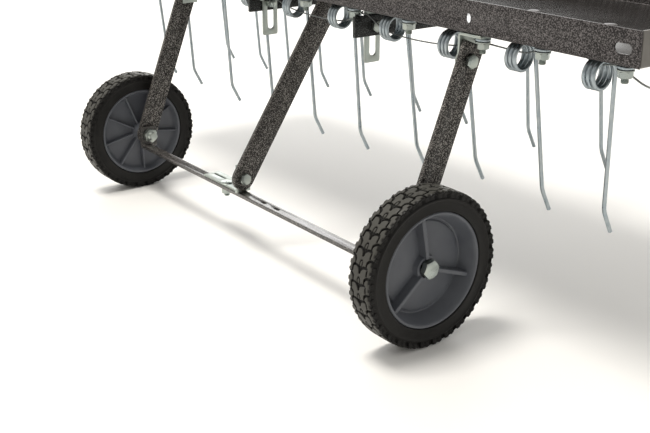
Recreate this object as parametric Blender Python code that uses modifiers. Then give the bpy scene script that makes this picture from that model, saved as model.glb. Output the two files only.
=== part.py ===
# Tow-behind dethatcher, in metres, +Z up, +X to the right as seen from behind, +Y towards the tractor.
# Every piece is drawn with the wheel axle above y = 0, and one empty moves the whole machine so that
# the origin is on the ground under the middle of its length.

import math

import bmesh
import bpy
import numpy as np

# Clearances
GAP = 0.0003
HOLE_CLEARANCE = 0.0003

# Wheels
WHEEL_RADIUS = 0.0889
TRACK = 0.6752
TYRE_WIDTH = 0.036
TYRE_DEPTH = 0.0230
TYRE_SHOULDER = 0.005
SIDEWALL_HEIGHT = 0.01035
BEAD_STEP = 0.002
BEAD_INSET = 0.0008
BEAD_TOE = 0.0012
RIM_WIDTH = 0.0345
RIM_LIP = 0.0024
RIM_DISH = 0.0072
RIM_CHAMFER = 0.001
WEB_THICKNESS = 0.003
WEB_INSET = 0.001
HUB_RADIUS = 0.0133
HUB_OUTER = 0.007
HUB_INNER = 0.0266
AXLE_BOLT_RADIUS = 0.00635
OUTER_RIBS = 3
INNER_RIBS = 9
WHEEL_STEPS = 32
RIB_FIRST_TURN = 187.0
RIB_ROOT = 0.001
OUTER_RIB_THICKNESS = 0.0040
INNER_RIB_THICKNESS = 0.0025
OUTER_RIB_EDGE = 0.0076
INNER_RIB_EDGE = 0.013

# Tray
TRAY_WIDTH = 1.070
TRAY_DEPTH = 0.296
TRAY_WALL = 0.002
TRAY_HEIGHT = 0.0348
TRAY_BOTTOM = 0.3283
TRAY_REAR = 0.0708
CORNER_GAP = 0.0014
END_HOLE_HEIGHT = 0.0165
END_SLOT_INSET = 0.019
END_SLOT_LENGTH = 0.020
END_SLOT_HEIGHT = 0.0097
END_OVAL_X = 0.3154
END_OVAL_WIDTH = 0.0074
END_OVAL_HEIGHT = 0.0103

# Tines
TINE_COUNT = 10
TINE_PITCH = 0.1016
WIRE_RADIUS = 0.00225
COIL_RADIUS = 0.014
COIL_TURNS = 3.25
COIL_PITCH = 0.0052
POINTS_PER_TURN = 8
REAR_ROW_Y = 0.0906
ROW_SPACING = 0.140
REAR_OUTER_TINE = 0.1491
REAR_MIDDLE_TINE = 0.1703
FRONT_OUTER_TINE = 0.4186
TIP_HEIGHT = 0.142
KNEE_HEIGHT = 0.168
KNEE_FORWARD = 0.0259
TIP_FORWARD = 0.0394
HOOK_REACH = 0.0365
HOOK_CLEARANCE = 0.0002
TINE_BOLT_RADIUS = 0.0040
ARM_BEND = 0.0045
ARM_BACK = 0.0134

# The sideways departures of each tine from its even place, and of its knee from its own coil
REAR_PLACE = [0, 0, 0, 0, 0, 0, -0.0025, 0.0148, 0, 0.005]
REAR_SWAY = [-0.007, 0.005, 0.009, 0.010, 0.001, 0, 0.0005, -0.005, -0.005, -0.006]
BRACKET_TINES = (2, 8)
BRACKET_BOLT_ALONG = 0.025
FRONT_PLACE = [0.020, 0.024, 0.013, -0.0105, -0.007, -0.0125, -0.020, -0.008, 0.0065, 0]
FRONT_SWAY = [0, 0, 0, 0.004, 0, 0, 0, 0, 0, 0]

# Retaining cable
CABLE_RADIUS = 0.001
CABLE_POINTS = 76
CABLE_TAIL = 0.028
CABLE_BELOW_AXIS = 0.0063
CABLE_SEAT_GAP = 0.0006
CABLE_OVER_RAIL = 0.0008
CABLE_SIDE_GAP = 0.0008
CABLE_BIGHT = ((0.018, 0.010, 0.008), (0.037, 0.030, -0.012), (0.033, 0.075, -0.014), (0.003, 0.131, -0.0098))
CABLE_RAIL_TINES = (6, 4)
CABLE_BRACKET_TINES = (8, 2)
CABLE_RAIL_CROSSING = (0.006, 0, -0.0057)
CABLE_RAIL_LEAVING = 0.0132
CABLE_LEG_RISE = 0.004
CABLE_HIGH_FRONT_TINES = (5, 3)
CABLE_FRONT_CROSSINGS = (6, 2)
CABLE_FRONT_CROSSING = 0.009
NUT_CLEAR_Y = 0.0945

# Wheel arms, tie bar and the angle on it
ARM_WIDTH = 0.030
ARM_THICKNESS = 0.006
HUB_SIDE_GAP = 0.0008
PIVOT_Y = 0.0816
PIVOT_Z = 0.2967
PIVOT_BOLT_RADIUS = 0.00397
TIE_THICKNESS = 0.005
TIE_WIDTH = 0.014
TIE_REAR = -0.0135
TIE_BOTTOM = 0.070
TAB_FORWARD = 0.0125
TAB_TOP = 0.1015
TIE_SLOT_LENGTH = 0.012
TIE_SLOT_WIDTH = 0.0045
TIE_SLOTS_X = (0.0325, 0.063)
ANGLE_THICKNESS = 0.0025
ANGLE_LEFT = -0.130
ANGLE_WIDTH = 0.025
UPRIGHT_REAR = -0.0215
UPRIGHT_DEPTH = 0.0255
ANGLE_BOLT_X = -0.060
ANGLE_SLOT_X = -0.0892
ANGLE_SLOT_Y = 0.0007
ANGLE_SLOT_LENGTH = 0.030
ANGLE_SLOT_RADIUS = 0.0016
ANGLE_UPRIGHT_TOP = 0.115
SMALL_BOLT_RADIUS = 0.00397

# Lift bar
BAR_WIDTH = 0.032
BAR_THICKNESS = 0.006
BAR_RIGHT = -0.010
BAR_LENGTH = 0.80
BAR_LEAN = 33.0
BAR_PIVOT_Y = -0.0089
BAR_PIVOT_Z = 0.0964
GRIP_LENGTH = 0.130
GRIP_WALL = 0.0035
FLOOR_SLOT_REAR = 0.092
FLOOR_SLOT_FRONT = 0.228
FLOOR_SLOT_SIDE = 0.0035

# Arm pivot brackets
BRACKET_THICKNESS = 0.0029
BRACKET_DEPTH = 0.025
BRACKET_BELOW = 0.015
BRACKET_FLANGE = 0.034
WIRE_NOTCH = 0.0098
WIRE_NOTCH_DROP = 0.0083

# Drawbar
RAIL_OUTER = 0.1202
RAIL_THICKNESS = 0.005
RAIL_HEIGHT = 0.0254
RAIL_BOTTOM = 0.2931
RAIL_REAR = 0.0735
RAIL_BEND_Y = 0.400
RAIL_JOIN_Y = 0.930
CLEVIS_REAR = 0.940
RAIL_FRONT = 1.090
TUBE_SIDE = 0.0254
TUBE_WALL = 0.003
TUBE_FRONT = 1.130
JAW_THICKNESS = 0.006
JAW_WIDTH = 0.038
JAW_REAR = 1.0915
JAW_FRONT = 1.1889
PIN_Y = 1.170
PIN_RADIUS = 0.00635
PIN_BELOW = 0.0251
PIN_HEAD_RADIUS = 0.0125
PIN_HEAD_HEIGHT = 0.008
CLIP_BELOW_JAW = 0.0131
CLIP_WIRE = 0.0014
CLIP_LEG = 0.018
CLIP_LOOP = 0.0065
CLIP_LOOP_X = 0.022
CLIP_NECK = 0.0052
CLIP_FLARE = 0.002
HITCH_BOLTS_Y = (0.965, 1.065)

# Slotted plates and front brackets of the drawbar
PLATE_THICKNESS = 0.0025
PLATE_DEPTH = 0.024
PLATE_REAR = 0.0924
PLATE_BOTTOM = 0.2593
PLATE_SLOT_WIDTH = 0.0112
PLATE_SLOT_Y = 0.1053
PLATE_SLOT_BOTTOM = 0.2675
PLATE_SLOT_TOP = 0.312
PLATE_FLANGE = 0.0225
PLATE_FLANGE_NOTCH = 0.0021
SLOT_BOLT_Y = 0.1044
SLOT_BOLT_Z = 0.3045
FRONT_BRACKET_REAR = 0.332
FRONT_BRACKET_DEPTH = 0.026
FRONT_BRACKET_BOTTOM = 0.290

# Bolt heads and nuts
HEAD_HEIGHT = 0.0052
AXLE_HEAD_HEIGHT = 0.0075
NUT_HEIGHT = 0.0065
BOLT_TAIL = 0.004
BOLT_STEPS = 12
AXLE_NUT_HEIGHT = 0.0080

# Values that follow from the ones above
AXLE_HEIGHT = WHEEL_RADIUS
MACHINE_SHIFT = -(JAW_FRONT - WHEEL_RADIUS) / 2
TIE_FRONT = TIE_REAR + TIE_WIDTH
TIE_MIDDLE = TIE_REAR + TIE_WIDTH / 2
COIL_HEIGHT = TRAY_BOTTOM - GAP - WIRE_RADIUS - COIL_RADIUS
FRONT_ROW_Y = REAR_ROW_Y + ROW_SPACING
RAIL_MIDDLE = RAIL_BOTTOM + RAIL_HEIGHT / 2
RAIL_INNER = RAIL_OUTER - RAIL_THICKNESS
PLATE_OUTER = RAIL_INNER - GAP
FRONT_PIVOT_Y = FRONT_BRACKET_REAR + FRONT_BRACKET_DEPTH / 2
ARM_OUTER = TRACK / 2 - HUB_INNER - HUB_SIDE_GAP
ARM_INNER = ARM_OUTER - ARM_THICKNESS
BRACKET_BOLT_X = ARM_INNER - GAP - BRACKET_THICKNESS + BRACKET_BOLT_ALONG
END_SLOT_X = TRAY_WIDTH / 2 - END_SLOT_INSET
TAB_OUTER = ARM_INNER - GAP
BAR_LEFT = BAR_RIGHT - BAR_THICKNESS

# Directions that a flat outline or a turned piece can face
SIDE_PLANE = (math.radians(90), 0, math.radians(90))
FLAT_PLANE = (0, 0, 0)
REAR_PLANE = (math.radians(90), 0, 0)
ALONG_X = (0, math.radians(90), 0)
AGAINST_X = (0, math.radians(-90), 0)
DOWNWARD = (math.radians(180), 0, 0)


def clear_scene():
    for item in list(bpy.data.objects):
        bpy.data.objects.remove(item)


def make_collection(name):
    collection = bpy.data.collections.new(name)
    bpy.context.scene.collection.children.link(collection)
    return collection


clear_scene()
PARTS = make_collection("dethatcher")
CUTTERS = make_collection("cutters")
MACHINE = bpy.data.objects.new("machine_origin", None)
MACHINE.location = (0, MACHINE_SHIFT, 0)
PARTS.objects.link(MACHINE)


def make_material(name, colour, roughness, metallic):
    material = bpy.data.materials.new(name)
    material.use_nodes = True
    shader = material.node_tree.nodes["Principled BSDF"]
    shader.inputs["Base Color"].default_value = (*colour, 1)
    shader.inputs["Roughness"].default_value = roughness
    shader.inputs["Metallic"].default_value = metallic
    material.diffuse_color = (*colour, 1)
    return material


PAINT = (0.045, 0.040, 0.036)
ZINC = (0.62, 0.66, 0.65)
SPRING = (0.42, 0.45, 0.45)
RUBBER = (0.012, 0.012, 0.012)
PLASTIC = (0.060, 0.066, 0.078)
FINISH = {
    "paint": (PAINT, 0.45, 0.6),
    "zinc": (ZINC, 0.3, 1.0),
    "spring": (SPRING, 0.32, 1.0),
    "rubber": (RUBBER, 0.75, 0.0),
    "plastic": (PLASTIC, 0.5, 0.0),
    "cable": (PAINT, 0.4, 0.8),
}


def finish_piece(piece, finish):
    colour, roughness, metallic = FINISH[finish]
    piece.data.materials.clear()
    piece.data.materials.append(make_material(piece.name, colour, roughness, metallic))
    if piece.parent is None:
        piece.parent = MACHINE
    return piece


def smooth(piece, angle=35):
    piece.data.shade_smooth()
    piece.data.set_sharp_from_angle(angle=math.radians(angle))
    return piece


def add_object(name, data, collection=PARTS):
    item = bpy.data.objects.new(name, data)
    collection.objects.link(item)
    return item


def evaluated_mesh(item):
    bpy.context.view_layer.update()
    graph = bpy.context.evaluated_depsgraph_get()
    return bpy.data.meshes.new_from_object(item.evaluated_get(graph))


def bake(item):
    mesh = evaluated_mesh(item)
    edit = bmesh.new()
    edit.from_mesh(mesh)
    bmesh.ops.remove_doubles(edit, verts=edit.verts, dist=0.00001)
    bmesh.ops.recalc_face_normals(edit, faces=edit.faces)
    edit.to_mesh(mesh)
    edit.free()
    name = item.name
    place = item.matrix_world.copy()
    home = item.users_collection[0]
    bpy.data.objects.remove(item)
    solid = add_object(name, mesh, home)
    solid.matrix_world = place
    return solid


def combine(target, tool, operation):
    bpy.context.view_layer.update()
    step = target.modifiers.new(operation, "BOOLEAN")
    step.operation = operation
    step.object = tool
    mesh = evaluated_mesh(target)
    target.modifiers.clear()
    target.data = mesh
    bpy.data.objects.remove(tool)
    return target


def cut(target, tool):
    return combine(target, tool, "DIFFERENCE")


def join(target, tool):
    return combine(target, tool, "UNION")


def box(name, low, high, collection=PARTS):
    edit = bmesh.new()
    bmesh.ops.create_cube(edit, size=1)
    for vertex in edit.verts:
        for axis in range(3):
            vertex.co[axis] = high[axis] if vertex.co[axis] > 0 else low[axis]
    mesh = bpy.data.meshes.new(name)
    edit.to_mesh(mesh)
    edit.free()
    return add_object(name, mesh, collection)


def tool_box(low, high):
    return box("cutter", low, high, CUTTERS)


def cylinder(name, radius, start, length, turn, sides, collection=PARTS):
    edit = bmesh.new()
    bmesh.ops.create_cone(
        edit, cap_ends=True, segments=sides, radius1=radius, radius2=radius, depth=length
    )
    for vertex in edit.verts:
        vertex.co.z += length / 2
    mesh = bpy.data.meshes.new(name)
    edit.to_mesh(mesh)
    edit.free()
    item = add_object(name, mesh, collection)
    item.location = start
    item.rotation_euler = turn
    return item


def hole_along_x(target, radius, y, z, low_x, high_x, sides=20):
    tool = cylinder("cutter", radius, (low_x, y, z), high_x - low_x, ALONG_X, sides, CUTTERS)
    return cut(target, tool)


def circle_outline(x, y, radius, sides=20):
    turns = [2 * math.pi * step / sides for step in range(sides)]
    return [(x + radius * math.cos(turn), y + radius * math.sin(turn)) for turn in turns]


def stadium_outline(start, end, radius, steps=8):
    heading = math.atan2(end[1] - start[1], end[0] - start[0])
    points = []
    for centre, first in ((end, heading - math.pi / 2), (start, heading + math.pi / 2)):
        for step in range(steps + 1):
            turn = first + math.pi * step / steps
            points.append((centre[0] + radius * math.cos(turn), centre[1] + radius * math.sin(turn)))
    return points


def rounded_outline(corners, radius, steps=4):
    points = []
    for index, corner in enumerate(corners):
        before = np.array(corners[index - 1]) - corner
        after = np.array(corners[(index + 1) % len(corners)]) - corner
        before = before / np.linalg.norm(before)
        after = after / np.linalg.norm(after)
        half = math.acos(float(np.clip(before @ after, -1, 1))) / 2
        bisector = (before + after) / np.linalg.norm(before + after)
        centre = np.array(corner) + bisector * radius / math.sin(half)
        first = corner + before * radius / math.tan(half) - centre
        last = corner + after * radius / math.tan(half) - centre
        start = math.atan2(first[1], first[0])
        sweep = (math.atan2(last[1], last[0]) - start + math.pi) % (2 * math.pi) - math.pi
        for step in range(steps + 1):
            turn = start + sweep * step / steps
            points.append((centre[0] + radius * math.cos(turn), centre[1] + radius * math.sin(turn)))
    return points


def flat_piece(name, outlines, thickness, plane, place):
    """A plate from closed outlines, its middle plane at place."""
    data = bpy.data.curves.new(name, "CURVE")
    data.dimensions = "2D"
    data.fill_mode = "BOTH"
    data.extrude = thickness / 2
    for outline in outlines:
        spline = data.splines.new("POLY")
        spline.points.add(len(outline) - 1)
        for point, (x, y) in zip(spline.points, outline):
            point.co = (x, y, 0, 1)
        spline.use_cyclic_u = True
    item = add_object(name, data)
    item.location = place
    item.rotation_euler = plane
    return bake(item)


def wire(name, points, radius, resolution):
    data = bpy.data.curves.new(name, "CURVE")
    data.dimensions = "3D"
    data.bevel_depth = radius
    data.bevel_resolution = resolution
    data.use_fill_caps = True
    spline = data.splines.new("POLY")
    spline.points.add(len(points) - 1)
    for point, spot in zip(spline.points, points):
        point.co = (*spot, 1)
    return add_object(name, data)


def turned(name, profile, steps, place, turn, closed):
    """A profile of (radius, height) pairs turned round its axis, running down its outer side."""
    mesh = bpy.data.meshes.new(name)
    vertices = [(radius, 0, height) for radius, height in profile]
    edges = [(index, index + 1) for index in range(len(vertices) - 1)]
    if closed:
        edges.append((len(vertices) - 1, 0))
    mesh.from_pydata(vertices, edges, [])
    item = add_object(name, mesh)
    screw = item.modifiers.new("turn", "SCREW")
    screw.steps = steps
    screw.render_steps = steps
    screw.use_merge_vertices = True
    screw.merge_threshold = 0.00001
    item.location = place
    item.rotation_euler = turn
    return bake(item)


def hexagon(name, flats, start, height, turn):
    return cylinder(name, flats / math.sqrt(3), start, height, turn, 6, CUTTERS)


def bolt(name, radius, seat, turn, grip, flats, tail=BOLT_TAIL, head=HEAD_HEIGHT, nut=NUT_HEIGHT):
    """A bolt with its nut: the head's seat is at the seat point and the shank runs along the turn."""
    end = grip + nut + tail
    profile = [(0, end), (radius, end), (radius, -head / 2), (0, -head / 2)]
    body = turned(name, profile, BOLT_STEPS, (0, 0, 0), (0, 0, 0), False)
    body = join(body, hexagon("head", flats, (0, 0, -head), head, (0, 0, 0)))
    body = join(body, hexagon("nut", flats, (0, 0, grip), nut, (0, 0, 0)))
    body.location = seat
    body.rotation_euler = turn
    return finish_piece(smooth(body), "zinc")


def side_name(base, side):
    return base + ("_right" if side > 0 else "_left")


def outward(side):
    return ALONG_X if side > 0 else AGAINST_X


def inward(side):
    return AGAINST_X if side > 0 else ALONG_X


def span(first, second):
    return min(first, second), max(first, second)


def make_tray():
    left = -TRAY_WIDTH / 2
    right = TRAY_WIDTH / 2
    front = TRAY_REAR + TRAY_DEPTH
    top = TRAY_BOTTOM + TRAY_HEIGHT
    floor_top = TRAY_BOTTOM + TRAY_WALL
    tray = box("tray", (left, TRAY_REAR, TRAY_BOTTOM), (right, front, top))
    cut(tray, tool_box((left + TRAY_WALL, TRAY_REAR + TRAY_WALL, floor_top),
                       (right - TRAY_WALL, front - TRAY_WALL, top + TRAY_WALL)))
    for side in (1, -1):
        for wall, inwards in ((TRAY_REAR, 1), (front, -1)):
            low_x, high_x = span(side * (TRAY_WIDTH / 2 - TRAY_WALL * 1.5), side * TRAY_WIDTH)
            near = wall + inwards * TRAY_WALL
            low_y, high_y = span(near, near + inwards * CORNER_GAP)
            cut(tray, tool_box((low_x, low_y, TRAY_BOTTOM + TRAY_WALL), (high_x, high_y, top + TRAY_WALL)))
        oval_half = (END_OVAL_HEIGHT - END_OVAL_WIDTH) / 2
        slot_half = (END_SLOT_LENGTH - END_SLOT_HEIGHT) / 2
        middle = TRAY_BOTTOM + END_HOLE_HEIGHT
        oval = stadium_outline((side * END_OVAL_X, middle - oval_half), (side * END_OVAL_X, middle + oval_half),
                               END_OVAL_WIDTH / 2, 6)
        slot = stadium_outline((side * END_SLOT_X - slot_half, middle), (side * END_SLOT_X + slot_half, middle),
                               END_SLOT_HEIGHT / 2, 6)
        for outline in (oval, slot):
            cut(tray, flat_piece("cutter", [outline], TRAY_WALL * 3, REAR_PLANE, (0, TRAY_REAR, 0)))
    cut(tray, tool_box((BAR_LEFT - FLOOR_SLOT_SIDE, FLOOR_SLOT_REAR, TRAY_BOTTOM - TRAY_WALL),
                       (BAR_RIGHT + FLOOR_SLOT_SIDE, FLOOR_SLOT_FRONT, floor_top + TRAY_WALL)))
    finish_piece(tray, "paint")


def tine_points(hook_reach, sway):
    """The wire's middle line, from the hook's free end to the tip, with the coil's middle at 0."""
    hook_radius = TINE_BOLT_RADIUS + HOOK_CLEARANCE + WIRE_RADIUS
    left = -COIL_TURNS * COIL_PITCH / 2
    right = -left
    bolt_y = hook_radius - ARM_BACK
    points = []
    for step in range(4):
        turn = math.radians(115 - step * 205 / 3)
        points.append((hook_reach + hook_radius * math.cos(turn), bolt_y + hook_radius * math.sin(turn), COIL_RADIUS))
    for turn in (math.radians(250), math.radians(200)):
        points.append((left + ARM_BEND * (1 + math.cos(turn)),
                       ARM_BEND - ARM_BACK + ARM_BEND * math.sin(turn), COIL_RADIUS))
    for step in range(int(COIL_TURNS * POINTS_PER_TURN) + 1):
        turn = 2 * math.pi * step / POINTS_PER_TURN
        points.append((left + COIL_PITCH * step / POINTS_PER_TURN,
                       COIL_RADIUS * math.sin(turn), COIL_RADIUS * math.cos(turn)))
    foot = COIL_HEIGHT - KNEE_HEIGHT
    tip = COIL_HEIGHT - TIP_HEIGHT
    leg = np.array((sway, KNEE_FORWARD - COIL_RADIUS, -foot))
    knee = np.array((right + sway, KNEE_FORWARD, -foot))
    toe = np.array((right + sway, TIP_FORWARD, -tip))
    points.append(tuple(knee - leg * 0.04))
    points.append(tuple(knee + (toe - knee) * 0.25))
    points.append(tuple(toe))
    return points


def segment_gap(points):
    """The least distance between parts of a wire's middle line that aren't neighbours."""
    dense = []
    for start, end in zip(points[:-1], points[1:]):
        for share in np.linspace(0, 1, 6, endpoint=False):
            dense.append(np.array(start) * (1 - share) + np.array(end) * share)
    dense = np.array(dense)
    steps = np.linalg.norm(np.diff(dense, axis=0), axis=1)
    along = np.concatenate([[0], np.cumsum(steps)])
    apart = np.linalg.norm(dense[:, None] - dense[None], axis=2)
    far = np.abs(along[:, None] - along[None]) > 0.02
    return float(apart[far].min()) - 2 * WIRE_RADIUS


def tine_place(row, index):
    """The middle of a tine's coil. The rear row's outer tines keep their places beside the arm brackets."""
    y = REAR_ROW_Y if row == "rear" else FRONT_ROW_Y
    right, left = BRACKET_TINES
    if row == "front":
        return FRONT_OUTER_TINE - TINE_PITCH * index + FRONT_PLACE[index], y, COIL_HEIGHT
    if index <= right:
        coil = BRACKET_BOLT_X + REAR_OUTER_TINE - TINE_PITCH * index
    elif index < left - 1:
        coil = REAR_MIDDLE_TINE - TINE_PITCH * (index - right - 1)
    else:
        coil = -BRACKET_BOLT_X - HOOK_REACH - TINE_PITCH * (index - left)
    drop = BRACKET_THICKNESS + GAP if index in BRACKET_TINES else 0
    return coil + REAR_PLACE[index], y, COIL_HEIGHT - drop


def make_tines():
    least = 1.0
    for row, sways in (("rear", REAR_SWAY), ("front", FRONT_SWAY)):
        for index in range(TINE_COUNT):
            reach = HOOK_REACH
            if row == "rear" and index == BRACKET_TINES[0]:
                reach = BRACKET_BOLT_X - tine_place(row, index)[0]
            points = tine_points(reach, sways[index])
            least = min(least, segment_gap(points))
            tine = wire(f"{row}_tine_{index + 1}", points, WIRE_RADIUS, 1)
            tine.location = tine_place(row, index)
            finish_piece(bake(tine), "spring")
    print("least gap of a tine's wire to itself, mm:", round(least * 1000, 3))


def smooth_route(points, count):
    """Points spaced evenly in parameter along a curve through the route's own points."""
    points = np.array(points)
    padded = np.vstack([2 * points[0] - points[1], points, 2 * points[-1] - points[-2]])
    route = []
    for place in np.linspace(0, len(points) - 1, count):
        index = min(int(place), len(points) - 2)
        share = place - index
        a, b, c, d = padded[index:index + 4]
        route.append(0.5 * (2 * b + (c - a) * share + (2 * a - 5 * b + 4 * c - d) * share ** 2
                            + (3 * b - a - 3 * c + d) * share ** 3))
    return route


def cable_height(row, index):
    """How high the cable passes through a coil: on its lower inside, or higher where it meets a rail."""
    x, y, z = tine_place(row, index)
    return z - (COIL_RADIUS - WIRE_RADIUS) + CABLE_RADIUS + CABLE_SEAT_GAP


def make_cable():
    """The retaining cable, through the rear row to the right, round in a bight and back along the front row."""
    over_rail = RAIL_BOTTOM + RAIL_HEIGHT + CABLE_RADIUS + CABLE_OVER_RAIL
    rail_x = RAIL_OUTER - RAIL_THICKNESS / 2
    slack = COIL_HEIGHT - CABLE_BELOW_AXIS
    leg_x = ARM_INNER - GAP - BRACKET_THICKNESS / 2
    leg_y = TRAY_REAR + BRACKET_DEPTH + CABLE_RADIUS + CABLE_SIDE_GAP
    behind_plate = PLATE_REAR - CABLE_RADIUS - 2 * CABLE_SIDE_GAP
    points = []
    for index in reversed(range(TINE_COUNT)):
        x, y, z = tine_place("rear", index)
        points.append((x, y, slack))
        if index in CABLE_RAIL_TINES:
            side = -1 if index == CABLE_RAIL_TINES[0] else 1
            crossing = [(rail_x + offset, behind_plate) for offset in CABLE_RAIL_CROSSING]
            crossing.append((rail_x - CABLE_RAIL_LEAVING, NUT_CLEAR_Y))
            points.extend((side * along, y, over_rail) for along, y in crossing[::-side])
        if index in CABLE_BRACKET_TINES:
            side = -1 if index == CABLE_BRACKET_TINES[0] else 1
            for offset in (-BRACKET_THICKNESS, BRACKET_THICKNESS):
                points.append((side * leg_x + offset, leg_y, COIL_HEIGHT + CABLE_LEG_RISE))
    outermost = tine_place("rear", 0)
    for along, forward, up in CABLE_BIGHT:
        points.append((outermost[0] + along, outermost[1] + forward, outermost[2] + up))
    for index in range(TINE_COUNT):
        x, y, z = tine_place("front", index)
        level = over_rail if index in CABLE_HIGH_FRONT_TINES else cable_height("front", index)
        if index == CABLE_FRONT_CROSSINGS[0]:
            points.append((-rail_x - CABLE_FRONT_CROSSING, y, over_rail))
        points.append((x, y, level))
        if index == CABLE_FRONT_CROSSINGS[1]:
            points.append((rail_x + CABLE_FRONT_CROSSING, y, over_rail))
    first = points[0]
    last = points[-1]
    points = [(first[0] - CABLE_TAIL, first[1], first[2])] + points
    points.append((last[0] - CABLE_TAIL, last[1], last[2]))
    finish_piece(bake(wire("tine_cable", smooth_route(points, CABLE_POINTS), CABLE_RADIUS, 1)), "cable")


def make_tyre(side):
    inner = WHEEL_RADIUS - TYRE_DEPTH
    foot = WHEEL_RADIUS - SIDEWALL_HEIGHT
    half = TYRE_WIDTH / 2
    slope = TYRE_SHOULDER
    profile = [
        (WHEEL_RADIUS - slope, half),
        (WHEEL_RADIUS, half - slope),
        (WHEEL_RADIUS, slope - half),
        (WHEEL_RADIUS - slope, -half),
        (foot, -half),
        (foot - BEAD_STEP, BEAD_INSET - half),
        (inner, BEAD_TOE - half),
        (inner, half - BEAD_TOE),
        (foot - BEAD_STEP, half - BEAD_INSET),
        (foot, half),
    ]
    tyre = turned(side_name("tyre", side), profile, WHEEL_STEPS, (side * TRACK / 2, 0, AXLE_HEIGHT), outward(side), True)
    finish_piece(smooth(tyre), "rubber")


def make_rim(side):
    outer = WHEEL_RADIUS - TYRE_DEPTH - GAP
    lip = outer - RIM_LIP
    dish = lip - RIM_DISH
    half = RIM_WIDTH / 2
    web_outer = -WEB_INSET
    web_inner = web_outer - WEB_THICKNESS
    bore = AXLE_BOLT_RADIUS + HOLE_CLEARANCE
    profile = [
        (lip, half),
        (outer - RIM_CHAMFER, half),
        (outer, half - RIM_CHAMFER),
        (outer, RIM_CHAMFER - half),
        (outer - RIM_CHAMFER, -half),
        (lip, -half),
        (dish, web_inner),
        (HUB_RADIUS, web_inner),
        (HUB_RADIUS, -HUB_INNER),
        (bore, -HUB_INNER),
        (bore, HUB_OUTER),
        (HUB_RADIUS, HUB_OUTER),
        (HUB_RADIUS, web_outer),
        (dish, web_outer),
    ]
    rim = turned(side_name("wheel_rim", side), profile, WHEEL_STEPS, (0, 0, 0), (0, 0, 0), True)
    ribs = [(OUTER_RIBS, OUTER_RIB_THICKNESS, web_outer - RIB_ROOT, OUTER_RIB_EDGE),
            (INNER_RIBS, INNER_RIB_THICKNESS, -INNER_RIB_EDGE, web_inner + RIB_ROOT)]
    for count, thickness, low_z, high_z in ribs:
        for rib in range(count):
            tool = tool_box((HUB_RADIUS - 2 * RIB_ROOT, -thickness / 2, low_z),
                            (lip - RIB_ROOT, thickness / 2, high_z))
            tool.rotation_euler = (0, 0, math.radians(RIB_FIRST_TURN + 360 * rib / count))
            join(rim, tool)
    rim.location = (side * TRACK / 2, 0, AXLE_HEIGHT)
    rim.rotation_euler = outward(side)
    finish_piece(smooth(rim), "plastic")


def make_arm(side):
    middle = side * (ARM_OUTER - ARM_THICKNESS / 2)
    outline = stadium_outline((0, AXLE_HEIGHT), (PIVOT_Y, PIVOT_Z), ARM_WIDTH / 2)
    axle_hole = circle_outline(0, AXLE_HEIGHT, AXLE_BOLT_RADIUS + HOLE_CLEARANCE)
    pivot_hole = circle_outline(PIVOT_Y, PIVOT_Z, PIVOT_BOLT_RADIUS + HOLE_CLEARANCE)
    arm = flat_piece(side_name("wheel_arm", side), [outline, axle_hole, pivot_hole],
                     ARM_THICKNESS, SIDE_PLANE, (middle, 0, 0))
    finish_piece(smooth(arm), "paint")


def make_arm_bracket(side):
    """The zinc angle that carries an arm: a leg inside the arm and a flange over it, under the floor."""
    leg_inner = ARM_INNER - GAP - BRACKET_THICKNESS
    bottom = PIVOT_Z - BRACKET_BELOW
    top = TRAY_BOTTOM - GAP
    front = TRAY_REAR + BRACKET_DEPTH
    notch = TRAY_REAR + WIRE_NOTCH
    shelf = top - WIRE_NOTCH_DROP
    under = top - BRACKET_THICKNESS
    corners = [(TRAY_REAR, bottom), (front, bottom), (front, top), (TRAY_REAR, top), (TRAY_REAR, under),
               (notch, under), (notch, shelf), (TRAY_REAR, shelf)]
    hole = circle_outline(PIVOT_Y, PIVOT_Z, PIVOT_BOLT_RADIUS + HOLE_CLEARANCE)
    leg = flat_piece(side_name("arm_bracket", side), [corners, hole], BRACKET_THICKNESS, SIDE_PLANE,
                     (side * (leg_inner + BRACKET_THICKNESS / 2), 0, 0))
    low_x, high_x = span(side * leg_inner, side * (leg_inner + BRACKET_FLANGE))
    join(leg, tool_box((low_x, TRAY_REAR, under), (high_x, front, top)))
    finish_piece(leg, "zinc")


def make_arm_pivot_bolt(side):
    grip = ARM_THICKNESS + BRACKET_THICKNESS + 3 * GAP
    bolt(side_name("arm_pivot_bolt", side), PIVOT_BOLT_RADIUS,
         (side * (ARM_OUTER + GAP), PIVOT_Y, PIVOT_Z), inward(side), grip, 0.0143)


def make_axle_bolt(side):
    head_seat = TRACK / 2 + HUB_OUTER + GAP
    grip = head_seat - (TAB_OUTER - TIE_THICKNESS - GAP)
    bolt(side_name("axle_bolt", side), AXLE_BOLT_RADIUS, (side * head_seat, 0, AXLE_HEIGHT),
         inward(side), grip, 0.019, head=AXLE_HEAD_HEIGHT, nut=AXLE_NUT_HEIGHT)


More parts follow.
